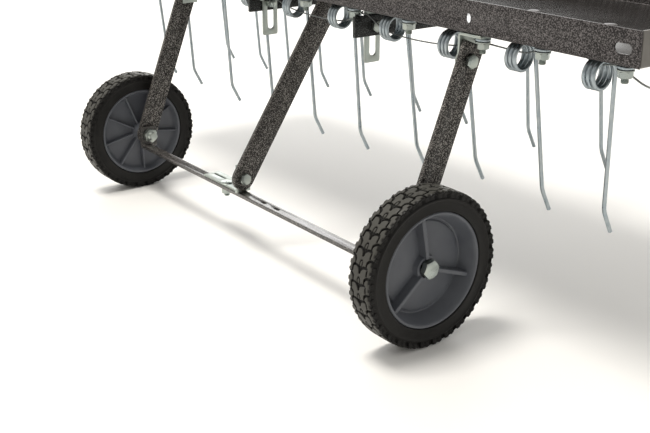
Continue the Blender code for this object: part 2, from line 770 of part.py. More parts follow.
def make_tie_bar():
    top = TIE_BOTTOM + TIE_THICKNESS
    tie = box("tie_bar", (-TAB_OUTER, TIE_REAR, TIE_BOTTOM), (TAB_OUTER, TIE_FRONT, top))
    for side in (1, -1):
        corners = [(TIE_REAR, TIE_BOTTOM), (TAB_FORWARD, TIE_BOTTOM), (TAB_FORWARD, TAB_TOP), (TIE_REAR, TAB_TOP)]
        hole = circle_outline(0, AXLE_HEIGHT, AXLE_BOLT_RADIUS + HOLE_CLEARANCE)
        tab = flat_piece("tab", [rounded_outline(corners, 0.004), hole], TIE_THICKNESS, SIDE_PLANE,
                         (side * (TAB_OUTER - TIE_THICKNESS / 2), 0, 0))
        join(tie, tab)
    for x in TIE_SLOTS_X:
        half = (TIE_SLOT_LENGTH - TIE_SLOT_WIDTH) / 2
        outline = stadium_outline((x - half, TIE_MIDDLE), (x + half, TIE_MIDDLE), TIE_SLOT_WIDTH / 2, 5)
        cut(tie, flat_piece("cutter", [outline], TIE_THICKNESS * 3, FLAT_PLANE, (0, 0, TIE_BOTTOM)))
    bolt_radius = SMALL_BOLT_RADIUS + HOLE_CLEARANCE
    cut(tie, cylinder("cutter", bolt_radius, (ANGLE_BOLT_X, TIE_MIDDLE, TIE_BOTTOM - TIE_THICKNESS),
                      TIE_THICKNESS * 3, FLAT_PLANE, 20, CUTTERS))
    finish_piece(tie, "paint")


def make_lift_angle():
    """The zinc angle on the tie bar, whose upright carries the lift bar."""
    bottom = TIE_BOTTOM + TIE_THICKNESS + GAP
    upright = BAR_LEFT - GAP
    middle = bottom + ANGLE_THICKNESS / 2
    front = TIE_REAR + ANGLE_WIDTH
    corners = [(ANGLE_LEFT, TIE_REAR), (upright, TIE_REAR), (upright, front), (ANGLE_LEFT, front)]
    bolt_hole = circle_outline(ANGLE_BOLT_X, TIE_MIDDLE, SMALL_BOLT_RADIUS + HOLE_CLEARANCE)
    half = ANGLE_SLOT_LENGTH / 2
    slot = stadium_outline((ANGLE_SLOT_X - half, ANGLE_SLOT_Y), (ANGLE_SLOT_X + half, ANGLE_SLOT_Y),
                           ANGLE_SLOT_RADIUS, 5)
    angle = flat_piece("lift_angle", [corners, bolt_hole, slot], ANGLE_THICKNESS, FLAT_PLANE, (0, 0, middle))
    rear = UPRIGHT_REAR
    front = UPRIGHT_REAR + UPRIGHT_DEPTH
    side = [(rear, bottom), (front, bottom), (front, ANGLE_UPRIGHT_TOP), (rear, ANGLE_UPRIGHT_TOP)]
    hole = circle_outline(BAR_PIVOT_Y, BAR_PIVOT_Z, PIVOT_BOLT_RADIUS + HOLE_CLEARANCE)
    plate = flat_piece("upright", [rounded_outline(side, 0.003), hole], ANGLE_THICKNESS, SIDE_PLANE,
                       (upright - ANGLE_THICKNESS / 2, 0, 0))
    join(angle, plate)
    finish_piece(angle, "zinc")


def make_lift_bolts():
    bolt("lift_angle_bolt", SMALL_BOLT_RADIUS,
         (ANGLE_BOLT_X, TIE_MIDDLE, TIE_BOTTOM + TIE_THICKNESS + ANGLE_THICKNESS + 2 * GAP),
         DOWNWARD, TIE_THICKNESS + ANGLE_THICKNESS + 3 * GAP, 0.0127)
    bolt("lift_bar_bolt", PIVOT_BOLT_RADIUS, (BAR_RIGHT + GAP, BAR_PIVOT_Y, BAR_PIVOT_Z), AGAINST_X,
         BAR_THICKNESS + ANGLE_THICKNESS + 3 * GAP, 0.0143)


def bar_point(distance):
    lean = math.radians(BAR_LEAN)
    return BAR_PIVOT_Y + distance * math.sin(lean), BAR_PIVOT_Z + distance * math.cos(lean)


def make_lift_bar():
    outline = stadium_outline(bar_point(0), bar_point(BAR_LENGTH), BAR_WIDTH / 2)
    hole = circle_outline(BAR_PIVOT_Y, BAR_PIVOT_Z, PIVOT_BOLT_RADIUS + HOLE_CLEARANCE)
    bar = flat_piece("lift_bar", [outline, hole], BAR_THICKNESS, SIDE_PLANE, (BAR_RIGHT - BAR_THICKNESS / 2, 0, 0))
    finish_piece(smooth(bar), "paint")


def make_grip():
    """A moulded sleeve over the bar's top end, open below."""
    middle = BAR_RIGHT - BAR_THICKNESS / 2
    start = bar_point(BAR_LENGTH - GRIP_LENGTH)
    end = bar_point(BAR_LENGTH)
    outer = stadium_outline(start, end, BAR_WIDTH / 2 + GRIP_WALL)
    grip = flat_piece("lift_grip", [outer], BAR_THICKNESS + 2 * GRIP_WALL, SIDE_PLANE, (middle, 0, 0))
    below = bar_point(BAR_LENGTH - GRIP_LENGTH * 2)
    hollow = stadium_outline(below, end, BAR_WIDTH / 2 + GAP)
    cut(grip, flat_piece("cutter", [hollow], BAR_THICKNESS + 2 * GAP, SIDE_PLANE, (middle, 0, 0)))
    square = stadium_outline(below, start, BAR_WIDTH)
    cut(grip, flat_piece("cutter", [square], BAR_THICKNESS * 5, SIDE_PLANE, (middle, 0, 0)))
    finish_piece(smooth(grip), "rubber")


def make_rail(side):
    """A drawbar rail: a flat bar on edge, straight under the tray and drawn in to the clevis."""
    wide = side * RAIL_OUTER
    wide_inner = side * RAIL_INNER
    narrow = side * (TUBE_SIDE / 2 + GAP + RAIL_THICKNESS)
    narrow_inner = side * (TUBE_SIDE / 2 + GAP)
    outline = [(wide, RAIL_REAR), (wide, RAIL_BEND_Y), (narrow, RAIL_JOIN_Y), (narrow, RAIL_FRONT),
               (narrow_inner, RAIL_FRONT), (narrow_inner, RAIL_JOIN_Y), (wide_inner, RAIL_BEND_Y),
               (wide_inner, RAIL_REAR)]
    rail = flat_piece(side_name("drawbar_rail", side), [outline], RAIL_HEIGHT, FLAT_PLANE, (0, 0, RAIL_MIDDLE))
    radius = SMALL_BOLT_RADIUS + HOLE_CLEARANCE
    low_x, high_x = span(0, side * (RAIL_OUTER + RAIL_THICKNESS))
    hole_along_x(rail, radius, SLOT_BOLT_Y, SLOT_BOLT_Z, low_x, high_x)
    hole_along_x(rail, radius, FRONT_PIVOT_Y, RAIL_MIDDLE, low_x, high_x)
    for y in HITCH_BOLTS_Y:
        hole_along_x(rail, radius, y, RAIL_MIDDLE, low_x, high_x)
    finish_piece(rail, "paint")


def make_slotted_plate(side):
    """The zinc plate whose slot guides the rear bolt of a rail."""
    rear = PLATE_REAR
    front = PLATE_REAR + PLATE_DEPTH
    middle = PLATE_SLOT_Y
    top = TRAY_BOTTOM - GAP
    corners = [(rear, PLATE_BOTTOM), (front, PLATE_BOTTOM), (front, top), (rear, top)]
    radius = PLATE_SLOT_WIDTH / 2
    slot = stadium_outline((middle, PLATE_SLOT_BOTTOM + radius), (middle, PLATE_SLOT_TOP - radius), radius)
    x = side * (PLATE_OUTER - PLATE_THICKNESS / 2)
    plate = flat_piece(side_name("slotted_plate", side), [corners, slot], PLATE_THICKNESS, SIDE_PLANE, (x, 0, 0))
    low_x, high_x = span(side * PLATE_OUTER, side * (PLATE_OUTER - PLATE_FLANGE))
    join(plate, tool_box((low_x, rear + PLATE_FLANGE_NOTCH, top - PLATE_THICKNESS), (high_x, front, top)))
    finish_piece(plate, "zinc")


def make_front_bracket(side):
    """The zinc angle near the tray's front wall that a rail pivots on."""
    rear = FRONT_BRACKET_REAR
    front = rear + FRONT_BRACKET_DEPTH
    top = TRAY_BOTTOM - GAP
    corners = [(rear, FRONT_BRACKET_BOTTOM), (front, FRONT_BRACKET_BOTTOM), (front, top), (rear, top)]
    hole = circle_outline(FRONT_PIVOT_Y, RAIL_MIDDLE, SMALL_BOLT_RADIUS + HOLE_CLEARANCE)
    x = side * (PLATE_OUTER - PLATE_THICKNESS / 2)
    plate = flat_piece(side_name("front_bracket", side), [corners, hole], PLATE_THICKNESS, SIDE_PLANE, (x, 0, 0))
    low_x, high_x = span(side * PLATE_OUTER, side * (PLATE_OUTER - PLATE_FLANGE))
    join(plate, tool_box((low_x, rear, top - PLATE_THICKNESS), (high_x, front, top)))
    finish_piece(plate, "zinc")


def make_rail_bolts(side):
    grip = RAIL_THICKNESS + PLATE_THICKNESS + 3 * GAP
    seat = side * (RAIL_OUTER + GAP)
    bolt(side_name("slot_bolt", side), SMALL_BOLT_RADIUS, (seat, SLOT_BOLT_Y, SLOT_BOLT_Z), inward(side),
         grip, 0.0127, 0.003)
    bolt(side_name("front_pivot_bolt", side), SMALL_BOLT_RADIUS, (seat, FRONT_PIVOT_Y, RAIL_MIDDLE), inward(side),
         grip, 0.0127, 0.003)


def make_clevis():
    """A square tube between the rails with a jaw plate welded on its top and its bottom."""
    half = TUBE_SIDE / 2
    bottom = RAIL_MIDDLE - half
    top = RAIL_MIDDLE + half
    clevis = box("hitch_clevis", (-half, CLEVIS_REAR, bottom), (half, TUBE_FRONT, top))
    inner = half - TUBE_WALL
    cut(clevis, tool_box((-inner, CLEVIS_REAR - TUBE_WALL, RAIL_MIDDLE - inner),
                         (inner, TUBE_FRONT + TUBE_WALL, RAIL_MIDDLE + inner)))
    jaw = rounded_outline([(-JAW_WIDTH / 2, JAW_REAR), (JAW_WIDTH / 2, JAW_REAR),
                           (JAW_WIDTH / 2, JAW_FRONT), (-JAW_WIDTH / 2, JAW_FRONT)], 0.010, 5)
    hole = circle_outline(0, PIN_Y, PIN_RADIUS + HOLE_CLEARANCE)
    for height in (bottom - JAW_THICKNESS / 2, top + JAW_THICKNESS / 2):
        join(clevis, flat_piece("jaw", [jaw, hole], JAW_THICKNESS, FLAT_PLANE, (0, 0, height)))
    for y in HITCH_BOLTS_Y:
        hole_along_x(clevis, SMALL_BOLT_RADIUS + HOLE_CLEARANCE, y, RAIL_MIDDLE, -TUBE_SIDE, TUBE_SIDE)
    finish_piece(clevis, "paint")


def make_hitch_bolts():
    reach = TUBE_SIDE / 2 + GAP + RAIL_THICKNESS + GAP
    for number, y in enumerate(HITCH_BOLTS_Y):
        bolt(f"hitch_bolt_{number + 1}", SMALL_BOLT_RADIUS, (reach, y, RAIL_MIDDLE), AGAINST_X,
             2 * reach, 0.0127)


def clip_height():
    return RAIL_MIDDLE - TUBE_SIDE / 2 - JAW_THICKNESS - CLIP_BELOW_JAW


def make_hitch_pin():
    seat = RAIL_MIDDLE + TUBE_SIDE / 2 + JAW_THICKNESS
    bottom = RAIL_MIDDLE - TUBE_SIDE / 2 - JAW_THICKNESS - PIN_BELOW
    profile = [(0, seat + PIN_HEAD_HEIGHT), (PIN_HEAD_RADIUS - 0.001, seat + PIN_HEAD_HEIGHT),
               (PIN_HEAD_RADIUS, seat + PIN_HEAD_HEIGHT - 0.001), (PIN_HEAD_RADIUS, seat),
               (PIN_RADIUS, seat), (PIN_RADIUS, bottom + 0.003), (PIN_RADIUS - 0.002, bottom), (0, bottom)]
    pin = turned("hitch_pin", profile, 24, (0, PIN_Y, 0), (0, 0, 0), False)
    hole_along_x(pin, CLIP_WIRE + HOLE_CLEARANCE, PIN_Y, clip_height(), -PIN_HEAD_RADIUS, PIN_HEAD_RADIUS, 12)
    finish_piece(smooth(pin), "zinc")


def make_hitch_clip():
    """A hair clip: one leg runs through the pin, the loop turns it back and the other leg passes the pin's front."""
    outer = PIN_RADIUS + CLIP_WIRE + GAP
    points = [(-CLIP_LEG, 0, 0), (PIN_RADIUS, 0, 0)]
    middle = outer / 2
    start = math.atan2(-middle, -CLIP_NECK)
    for step in range(8):
        turn = start - 2 * start * step / 7
        points.append((CLIP_LOOP_X + CLIP_LOOP * math.cos(turn), middle + CLIP_LOOP * math.sin(turn), 0))
    points.append((PIN_RADIUS, outer, 0))
    points.append((-PIN_RADIUS, outer, 0))
    points.append((-CLIP_LEG, outer + CLIP_FLARE, 0))
    clip = wire("hitch_clip", points, CLIP_WIRE, 1)
    clip.location = (0, PIN_Y, clip_height())
    finish_piece(bake(clip), "zinc")


make_tray()
make_tines()
make_cable()
make_tie_bar()
make_lift_angle()
make_lift_bolts()
make_lift_bar()
make_grip()
for side in (1, -1):
    make_tyre(side)
    make_rim(side)
    make_arm(side)
    make_arm_bracket(side)
    make_arm_pivot_bolt(side)
    make_axle_bolt(side)
    make_rail(side)
    make_slotted_plate(side)
    make_front_bracket(side)
    make_rail_bolts(side)
make_clevis()
make_hitch_bolts()
make_hitch_pin()
make_hitch_clip()
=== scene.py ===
# Tow-behind dethatcher: the finished look of the solid model.

import math

import bmesh
import bpy
import numpy as np
from mathutils import Matrix, Vector


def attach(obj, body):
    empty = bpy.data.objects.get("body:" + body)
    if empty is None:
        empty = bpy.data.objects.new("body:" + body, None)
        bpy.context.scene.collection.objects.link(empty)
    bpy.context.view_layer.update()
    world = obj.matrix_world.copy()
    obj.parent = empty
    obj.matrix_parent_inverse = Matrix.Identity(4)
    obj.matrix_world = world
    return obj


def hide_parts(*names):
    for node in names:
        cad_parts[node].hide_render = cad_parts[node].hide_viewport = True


# Frame and camera
# The solid model is loaded, its box is kept, and the camera stands where the photograph was taken.
# Lengths are in metres: x from the middle, y from the wheel axle (AXLE_Y in the model), z from the floor.

AXLE_Y = -0.55
LENS = 58.01
CAMERA_PLACE = (1.1127, -0.6960 + AXLE_Y, 0.5329)
CAMERA_HEADING = 53.892
CAMERA_TILT = 20.464
CAMERA_ROLL = -0.124

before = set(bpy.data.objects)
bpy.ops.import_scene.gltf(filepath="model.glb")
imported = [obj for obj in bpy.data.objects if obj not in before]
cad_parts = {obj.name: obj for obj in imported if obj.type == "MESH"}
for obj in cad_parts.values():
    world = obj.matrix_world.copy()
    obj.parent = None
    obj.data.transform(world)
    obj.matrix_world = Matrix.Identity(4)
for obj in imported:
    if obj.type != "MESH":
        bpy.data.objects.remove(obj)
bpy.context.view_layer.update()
scene = bpy.context.scene
scene.view_settings.view_transform = "Standard"

camera = bpy.data.objects.new("camera", bpy.data.cameras.new("camera"))
camera.data.lens = LENS
camera.data.sensor_width = 36
camera.data.clip_start = 0.02
camera.data.clip_end = 60
camera.matrix_world = (
    Matrix.Translation(CAMERA_PLACE)
    @ Matrix.Rotation(math.radians(CAMERA_HEADING), 4, "Z")
    @ Matrix.Rotation(math.radians(90 - CAMERA_TILT), 4, "X")
    @ Matrix.Rotation(math.radians(CAMERA_ROLL), 4, "Z")
)
scene.collection.objects.link(camera)
scene.camera = camera


# Tray
# A tray of 2 mm steel sheet: a floor with a slot for the lift bar, and four low walls with bent lower edges.
# Its corners are notched where two folds meet, the rear wall has two holes at each end, and the whole is
# stove enamelled; the end walls wear a paler copy of the enamel, as painted light on them. The tines, the
# brackets and the slotted plates hang from its floor.

FLOOR_BOTTOM = 0.3283
FLOOR_TOP = 0.3303
TRAY_TOP = 0.3631
TRAY_HALF = 0.535
TRAY_REAR = 0.0708
TRAY_FRONT = 0.3668
SHEET = 0.002
FOLD = 0.0032
EDGE_ROUND = 0.0003
END_GAP = 0.0014
FLOOR_INSET = 0.004
NOTCH_LONG = 0.0042
NOTCH_FROM = 0.0022
HOLE_NEAR_ARM = (0.3154, 0.3445, 0.0074, 0.0103)
HOLE_AT_END = (0.516, 0.3448, 0.020, 0.0097)
BAR_RIGHT = -0.010
BAR_HALF_THICK = 0.003
SLOT_HALF = 0.0065
SLOT_REAR = 0.092
SLOT_FRONT = 0.228
CUTTER_PAST = 0.01
HAMMER_GRAIN = 0.0012
HAMMER_CELL = 0.0014


def linear(code):
    """A colour written as RRGGBB, as the shader wants it."""
    values = [int(code[place:place + 2], 16) / 255 for place in (0, 2, 4)]
    return [v / 12.92 if v <= 0.04045 else ((v + 0.055) / 1.055) ** 2.4 for v in values] + [1]


def fill(node, inputs):
    """Sets each input of a node, or links it where the value is another node's output."""
    for key, value in inputs.items():
        if isinstance(value, bpy.types.NodeSocket):
            node.id_data.links.new(value, node.inputs[key])
        else:
            node.inputs[key].default_value = value


def add_node(tree, kind, inputs, output=0, **settings):
    """Adds a node with its settings and links, and gives back one of its outputs."""
    node = tree.nodes.new("ShaderNode" + kind)
    for key, value in settings.items():
        setattr(node, key, value)
    fill(node, inputs)
    return node.outputs[output]


def new_finish(name):
    """A new material with its nodes, its shader and the coordinates of the piece that wears it."""
    material = bpy.data.materials.new(name)
    material.use_nodes = True
    tree = material.node_tree
    return material, tree, tree.nodes["Principled BSDF"], add_node(tree, "TexCoord", {}, "Object")


# Hammertone stove enamel, sprayed and baked: it dries into raised spots about 1.2 mm across with dark valleys
# between them, so that the eye sees a fine glossy mottle, and its tone drifts over some 50 mm.
def hammertone(name, dark, light, cover, gloss, coat=0.0):
    material, tree, shader, place = new_finish(name)
    spots = add_node(tree, "TexNoise", {"Vector": place, "Scale": 1 / HAMMER_GRAIN, "Detail": 2})
    cells = add_node(tree, "TexVoronoi", {"Vector": place, "Scale": 1 / HAMMER_CELL}, "Distance")
    drift = add_node(tree, "TexNoise", {"Vector": place, "Scale": 1 / 0.05, "Detail": 2})
    speck = add_node(tree, "MapRange", {"Value": spots, "From Min": 0.61 - cover, "From Max": 0.67 - cover})
    glint = add_node(tree, "MapRange", {
        "Value": cells, "From Min": 0.15, "From Max": 0.55, "To Min": 1, "To Max": 0.45})
    share = add_node(tree, "Math", {0: speck, 1: glint}, operation="MULTIPLY")
    colour = add_node(tree, "Mix", {0: share, 6: linear(dark), 7: linear(light)}, 2, data_type="RGBA")
    shade = add_node(tree, "MapRange", {"Value": drift, "From Min": 0.3, "From Max": 0.7, "To Min": 0.88})
    fill(shader, {
        "Base Color": add_node(tree, "Mix", {0: shade, 6: linear("1c1a19"), 7: colour}, 2, data_type="RGBA"),
        "Roughness": add_node(tree, "MapRange", {"Value": share, "To Min": gloss, "To Max": gloss + 0.10}),
        "Metallic": add_node(tree, "MapRange", {"Value": share, "To Min": 0.1, "To Max": 0.55}),
        "Normal": add_node(tree, "Bump", {"Height": spots, "Distance": 0.00045, "Strength": 0.6}),
        "IOR": 1.38,
        "Coat Weight": coat,
        "Coat Roughness": 0.16,
    })
    return material


def drifting_finish(name, size, detail, edges, colours, dullness):
    """A new finish whose colour and gloss drift together, over spots of a size."""
    material, tree, shader, place = new_finish(name)
    drift = add_node(tree, "TexNoise", {"Vector": place, "Scale": 1 / size, "Detail": detail})
    share = add_node(tree, "MapRange", {"Value": drift, "From Min": edges[0], "From Max": edges[1]})
    first, last = (linear(code) for code in colours)
    colour = add_node(tree, "Mix", {0: share, 6: first, 7: last}, 2, data_type="RGBA")
    rough = add_node(tree, "MapRange", {
        "Value": drift, "From Min": 0.3, "From Max": 0.7, "To Min": dullness[0], "To Max": dullness[1]})
    fill(shader, {"Base Color": colour, "Roughness": rough})
    return material, tree, shader, place, colour


# The same enamel where it has flowed out flat in the oven: smooth and glossy, with a ripple of 8 mm and a
# dusty drift of 30 mm that only shows where it mirrors the light.
def flowed_enamel(name, colours, gloss):
    material, tree, shader, place, colour = drifting_finish(
        name, 0.03, 4, (0.35, 0.75), colours, (gloss, gloss + 0.03))
    ripple = add_node(tree, "TexNoise", {"Vector": place, "Scale": 1 / 0.008, "Detail": 2})
    relief = add_node(tree, "Bump", {"Height": ripple, "Distance": 0.00003, "Strength": 0.4})
    fill(shader, {"IOR": 1.34, "Normal": relief})
    return material


def skin(rings, caps=True, closed=False):
    """The corners and faces of a tube laid over rings of corners."""
    rings = np.asarray(rings, float)
    count, width = rings.shape[:2]
    faces = []
    for ring in range(count if closed else count - 1):
        low = ring * width
        high = (ring + 1) % count * width
        for side in range(width):
            beside = (side + 1) % width
            faces.append((low + side, low + beside, high + beside, high + side))
    if caps and not closed:
        faces.append(tuple(range(width))[::-1])
        faces.append(tuple((count - 1) * width + side for side in range(width)))
    return rings.reshape(-1, 3), faces


def make_mesh(name, solid, angle=40):
    """A mesh of a solid, smooth but for the edges that turn by more than an angle."""
    mesh = bpy.data.meshes.new(name)
    mesh.from_pydata([tuple(point) for point in solid[0]], [], solid[1])
    work = bmesh.new()
    work.from_mesh(mesh)
    bmesh.ops.recalc_face_normals(work, faces=work.faces)
    work.to_mesh(mesh)
    work.free()
    mesh.shade_smooth()
    mesh.set_sharp_from_angle(angle=math.radians(angle))
    return mesh


def add_piece(name, mesh, body, finish, stands_for=()):
    """Puts a piece measured from the axle into the model, on its body and with its finish."""
    mesh.transform(Matrix.Translation((0, AXLE_Y, 0)))
    mesh.materials.clear()
    mesh.materials.append(finish)
    piece = bpy.data.objects.new(name, mesh)
    scene.collection.objects.link(piece)
    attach(piece, body)
    if stands_for:
        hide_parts(*stands_for)
    return piece


def baked(piece):
    """The mesh of a piece with its modifiers applied, the piece itself being removed."""
    bpy.context.view_layer.update()
    graph = bpy.context.evaluated_depsgraph_get()
    mesh = bpy.data.meshes.new_from_object(piece.evaluated_get(graph))
    bpy.data.objects.remove(piece)
    return mesh


def cut(mesh, *cutters):
    """The mesh less the cutters."""
    piece = bpy.data.objects.new("cut", mesh)
    scene.collection.objects.link(piece)
    tools = []
    for cutter in cutters:
        tool = bpy.data.objects.new("cutter", cutter)
        scene.collection.objects.link(tool)
        tools.append(tool)
        step = piece.modifiers.new("cut", "BOOLEAN")
        step.operation = "DIFFERENCE"
        step.object = tool
    mesh = baked(piece)
    for tool in tools:
        bpy.data.objects.remove(tool)
    return mesh


def softened(mesh, width, segments=2, angle=35):
    """The mesh with its sharp edges rounded."""
    work = bmesh.new()
    work.from_mesh(mesh)
    bmesh.ops.remove_doubles(work, verts=work.verts, dist=0.00001)
    bmesh.ops.dissolve_limit(work, angle_limit=math.radians(1), verts=work.verts, edges=work.edges)
    work.to_mesh(mesh)
    work.free()
    piece = bpy.data.objects.new("soften", mesh)
    scene.collection.objects.link(piece)
    bevel = piece.modifiers.new("soften", "BEVEL")
    bevel.width = width
    bevel.segments = segments
    bevel.limit_method = "ANGLE"
    bevel.angle_limit = math.radians(angle)
    bevel.harden_normals = False
    mesh = baked(piece)
    mesh.shade_smooth()
    mesh.set_sharp_from_angle(angle=math.radians(50))
    return mesh


def joined(name, meshes):
    """One mesh of several."""
    work = bmesh.new()
    for mesh in meshes:
        work.from_mesh(mesh)
    whole = bpy.data.meshes.new(name)
    work.to_mesh(whole)
    work.free()
    whole.shade_smooth()
    whole.set_sharp_from_angle(angle=math.radians(50))
    return whole


def block(low, high):
    """A straight block between two corners."""
    low = np.array(low)
    high = np.array(high)
    rings = []
    for x in (low[0], high[0]):
        rings.append([(x, low[1], low[2]), (x, high[1], low[2]), (x, high[1], high[2]), (x, low[1], high[2])])
    return skin(rings)


def plate(outline, axis, low, high):
    """A flat plate from an outline across the axis: (y, z) for "x", (x, z) for "y" and (x, y) for "z"."""
    rings = []
    for level in (low, high):
        if axis == "x":
            rings.append([(level, a, b) for a, b in outline])
        elif axis == "y":
            rings.append([(a, level, b) for a, b in outline])
        else:
            rings.append([(a, b, level) for a, b in outline])
    return skin(rings)


def stadium(start, end, radius, steps=12):
    """The outline of a slot with round ends."""
    heading = math.atan2(end[1] - start[1], end[0] - start[0])
    points = []
    for centre, first in ((end, heading - math.pi / 2), (start, heading + math.pi / 2)):
        for step in range(steps + 1):
            turn = first + math.pi * step / steps
            points.append((centre[0] + radius * math.cos(turn), centre[1] + radius * math.sin(turn)))
    return points


def side_name(base, side):
    """The name of a piece that there is one of on each side."""
    return base + ("_right" if side > 0 else "_left")


def wall_profile():
    """The section of a wall as (inward, height) pairs, with the fold at its foot."""
    points = [(0, TRAY_TOP), (0, FLOOR_BOTTOM + FOLD)]
    for step in range(1, 7):
        turn = math.pi + math.pi / 2 * step / 6
        points.append((FOLD + FOLD * math.cos(turn), FLOOR_BOTTOM + FOLD + FOLD * math.sin(turn)))
    points += [(FOLD + 0.004, FLOOR_BOTTOM), (FOLD + 0.004, FLOOR_TOP)]
    inner = FOLD - SHEET
    for step in range(7):
        turn = math.pi * 1.5 - math.pi / 2 * step / 6
        points.append((FOLD + inner * math.cos(turn), FLOOR_BOTTOM + FOLD + inner * math.sin(turn)))
    points.append((SHEET, TRAY_TOP))
    return points


def hole_outline(x, z, long, high):
    """A hole in a wall, long or high with round ends."""
    half = abs(long - high) / 2
    if long > high:
        return stadium((x - half, z), (x + half, z), high / 2)
    return stadium((x, z - half), (x, z + half), long / 2)


ENAMEL = hammertone("hammertone_brown", "211e1e", "8a8585", 0.112, 0.36)
ENAMEL_FLOOR = flowed_enamel("flowed_enamel", ("262423", "2d2b2a"), 0.17)
# Painted light: the end walls get a paler copy of the tray's enamel, standing for the light that falls on
# their outward faces.
ENAMEL_END_PAINTED_LIGHT = flowed_enamel("flowed_enamel_ends_painted_light", ("777470", "85827d"), 0.30)

profile = wall_profile()
long_walls = []
for edge, way in ((TRAY_REAR, 1), (TRAY_FRONT, -1)):
    rings = [[(x, edge + way * inward, z) for inward, z in profile] for x in (-TRAY_HALF, TRAY_HALF)]
    wall = make_mesh("wall", skin(rings), 30)
    cutters = []
    for side in (1, -1):
        if way > 0:
            for x, z, long, high in (HOLE_NEAR_ARM, HOLE_AT_END):
                outline = hole_outline(side * x, z, long, high)
                hole = plate(outline, "y", edge - CUTTER_PAST, edge + CUTTER_PAST)
                cutters.append(make_mesh("hole", hole))
        near, far = sorted((edge + way * NOTCH_FROM, edge + way * CUTTER_PAST))
        left, right = sorted((side * (TRAY_HALF - NOTCH_LONG), side * (TRAY_HALF + 0.001)))
        notch = block((left, near, FLOOR_BOTTOM - 0.001), (right, far, TRAY_TOP + 0.001))
        cutters.append(make_mesh("notch", notch))
    long_walls.append(softened(cut(wall, *cutters), EDGE_ROUND, 2, 40))
add_piece("tray_sheet", joined("tray", long_walls), "tray", ENAMEL, ["tray"])

# The end walls wear the paler, painted-light copy of the enamel.
for side in (1, -1):
    ends = (TRAY_REAR + SHEET + END_GAP, TRAY_FRONT - SHEET - END_GAP)
    rings = [[(side * (TRAY_HALF - inward), y, z) for inward, z in profile] for y in ends]
    wall = softened(make_mesh("wall", skin(rings), 30), EDGE_ROUND, 2, 40)
    add_piece(side_name("tray_end", side), wall, "tray", ENAMEL_END_PAINTED_LIGHT)

floor = make_mesh("floor", block((-TRAY_HALF + FLOOR_INSET, TRAY_REAR + FLOOR_INSET, FLOOR_BOTTOM),
                                 (TRAY_HALF - FLOOR_INSET, TRAY_FRONT - FLOOR_INSET, FLOOR_TOP)))
bar_middle = BAR_RIGHT - BAR_HALF_THICK
slot = make_mesh("slot", block((bar_middle - SLOT_HALF, SLOT_REAR, FLOOR_BOTTOM - CUTTER_PAST),
                               (bar_middle + SLOT_HALF, SLOT_FRONT, FLOOR_TOP + CUTTER_PAST)))
add_piece("tray_floor", softened(cut(floor, slot), EDGE_ROUND, 2, 40), "tray", ENAMEL_FLOOR)


# Spring tines
# Each is one length of 4.5 mm plated spring wire, wound cold on a mandrel: a hook round its bolt, an arm,
# three and a quarter turns, a leg and a bent tip. Ten hang in each row, some a little off their line.

WIRE = 0.00225
COIL = 0.014
COIL_TURNS = 3.25
COIL_PITCH = 0.0052
COIL_HEIGHT = 0.31175
ARM_BACK = 0.0134
HOOK = 0.00645
HOOK_REACH = 0.0365
BEND = 0.0055
KNEE_FORWARD = 0.0259
KNEE_HEIGHT = 0.168
TIP_FORWARD = 0.0394
TIP_HEIGHT = 0.142
TINE_PITCH = 0.1016
TINES_IN_ROW = 10
REAR_ROW = 0.0906
FRONT_ROW = 0.2306
BRACKET_BOLT_X = 0.3260
BRACKET_DROP = 0.0032
REAR_PLACE = [0, 0, 0, 0, 0, 0, -0.0025, 0.0148, 0, 0.005]
REAR_SWAY = [-0.007, 0.011, 0.010, 0.010, 0, 0.001, 0.0005, -0.004, -0.005, 0.006]
REAR_RISE = [0, 0, 0.011, 0, -0.008, -0.010, -0.008, -0.007, 0, 0]
FRONT_PLACE = [0.020, 0.024, 0.013, -0.0105, -0.007, -0.0125, -0.020, -0.008, 0.0065, 0]
FRONT_SWAY = [0, 0.005, 0.002, 0.0035, 0.006, 0, 0.001, 0, 0, 0]
FRONT_RISE = [0, 0.010, 0.009, 0.012, 0.009, 0.009, 0.002, 0, 0, 0]


# Zinc-plated spring steel wire, drawn through a die: a pale blue-grey metal with duller clouds of 10 mm and
# draw lines along its length. Real lines are under 0.1 mm wide; these are 1.2 mm, so that they show.
def plated_spring_wire():
    material, tree, shader, place, colour = drifting_finish(
        "plated_spring_wire", 0.010, 3, (0.35, 0.7), ("9ba5ab", "b3babd"), (0.26, 0.40))
    drawn = add_node(tree, "Mapping", {"Vector": place, "Scale": (1 / 0.0012, 1 / 0.0012, 1 / 0.0144)})
    lines = add_node(tree, "TexNoise", {"Vector": drawn, "Scale": 1, "Detail": 3})
    mark = add_node(tree, "MapRange", {"Value": lines, "From Min": 0.45, "From Max": 0.75, "To Max": 0.35})
    fill(shader, {
        "Base Color": add_node(tree, "Mix", {0: mark, 6: colour, 7: linear("6a7479")}, 2, data_type="RGBA"),
        "Metallic": 1,
        "Normal": add_node(tree, "Bump", {"Height": lines, "Distance": 0.00006, "Strength": 0.4}),
    })
    return material


def placed(solid, matrix):
    """A solid turned and moved."""
    points, faces = solid
    turn = np.array(matrix.to_3x3())
    return points @ turn.T + np.array(matrix.translation), faces


def ways_across(points):
    """At each point of a line its way, and two ways across it that turn as little as they can."""
    ways = np.gradient(points, axis=0)
    ways /= np.linalg.norm(ways, axis=1)[:, None]
    side = np.cross(ways[0], (0.31, 0.52, 0.79))
    found = []
    for way in ways:
        side = side - way * (side @ way)
        side /= np.linalg.norm(side)
        found.append((way, side, np.cross(way, side)))
    return found


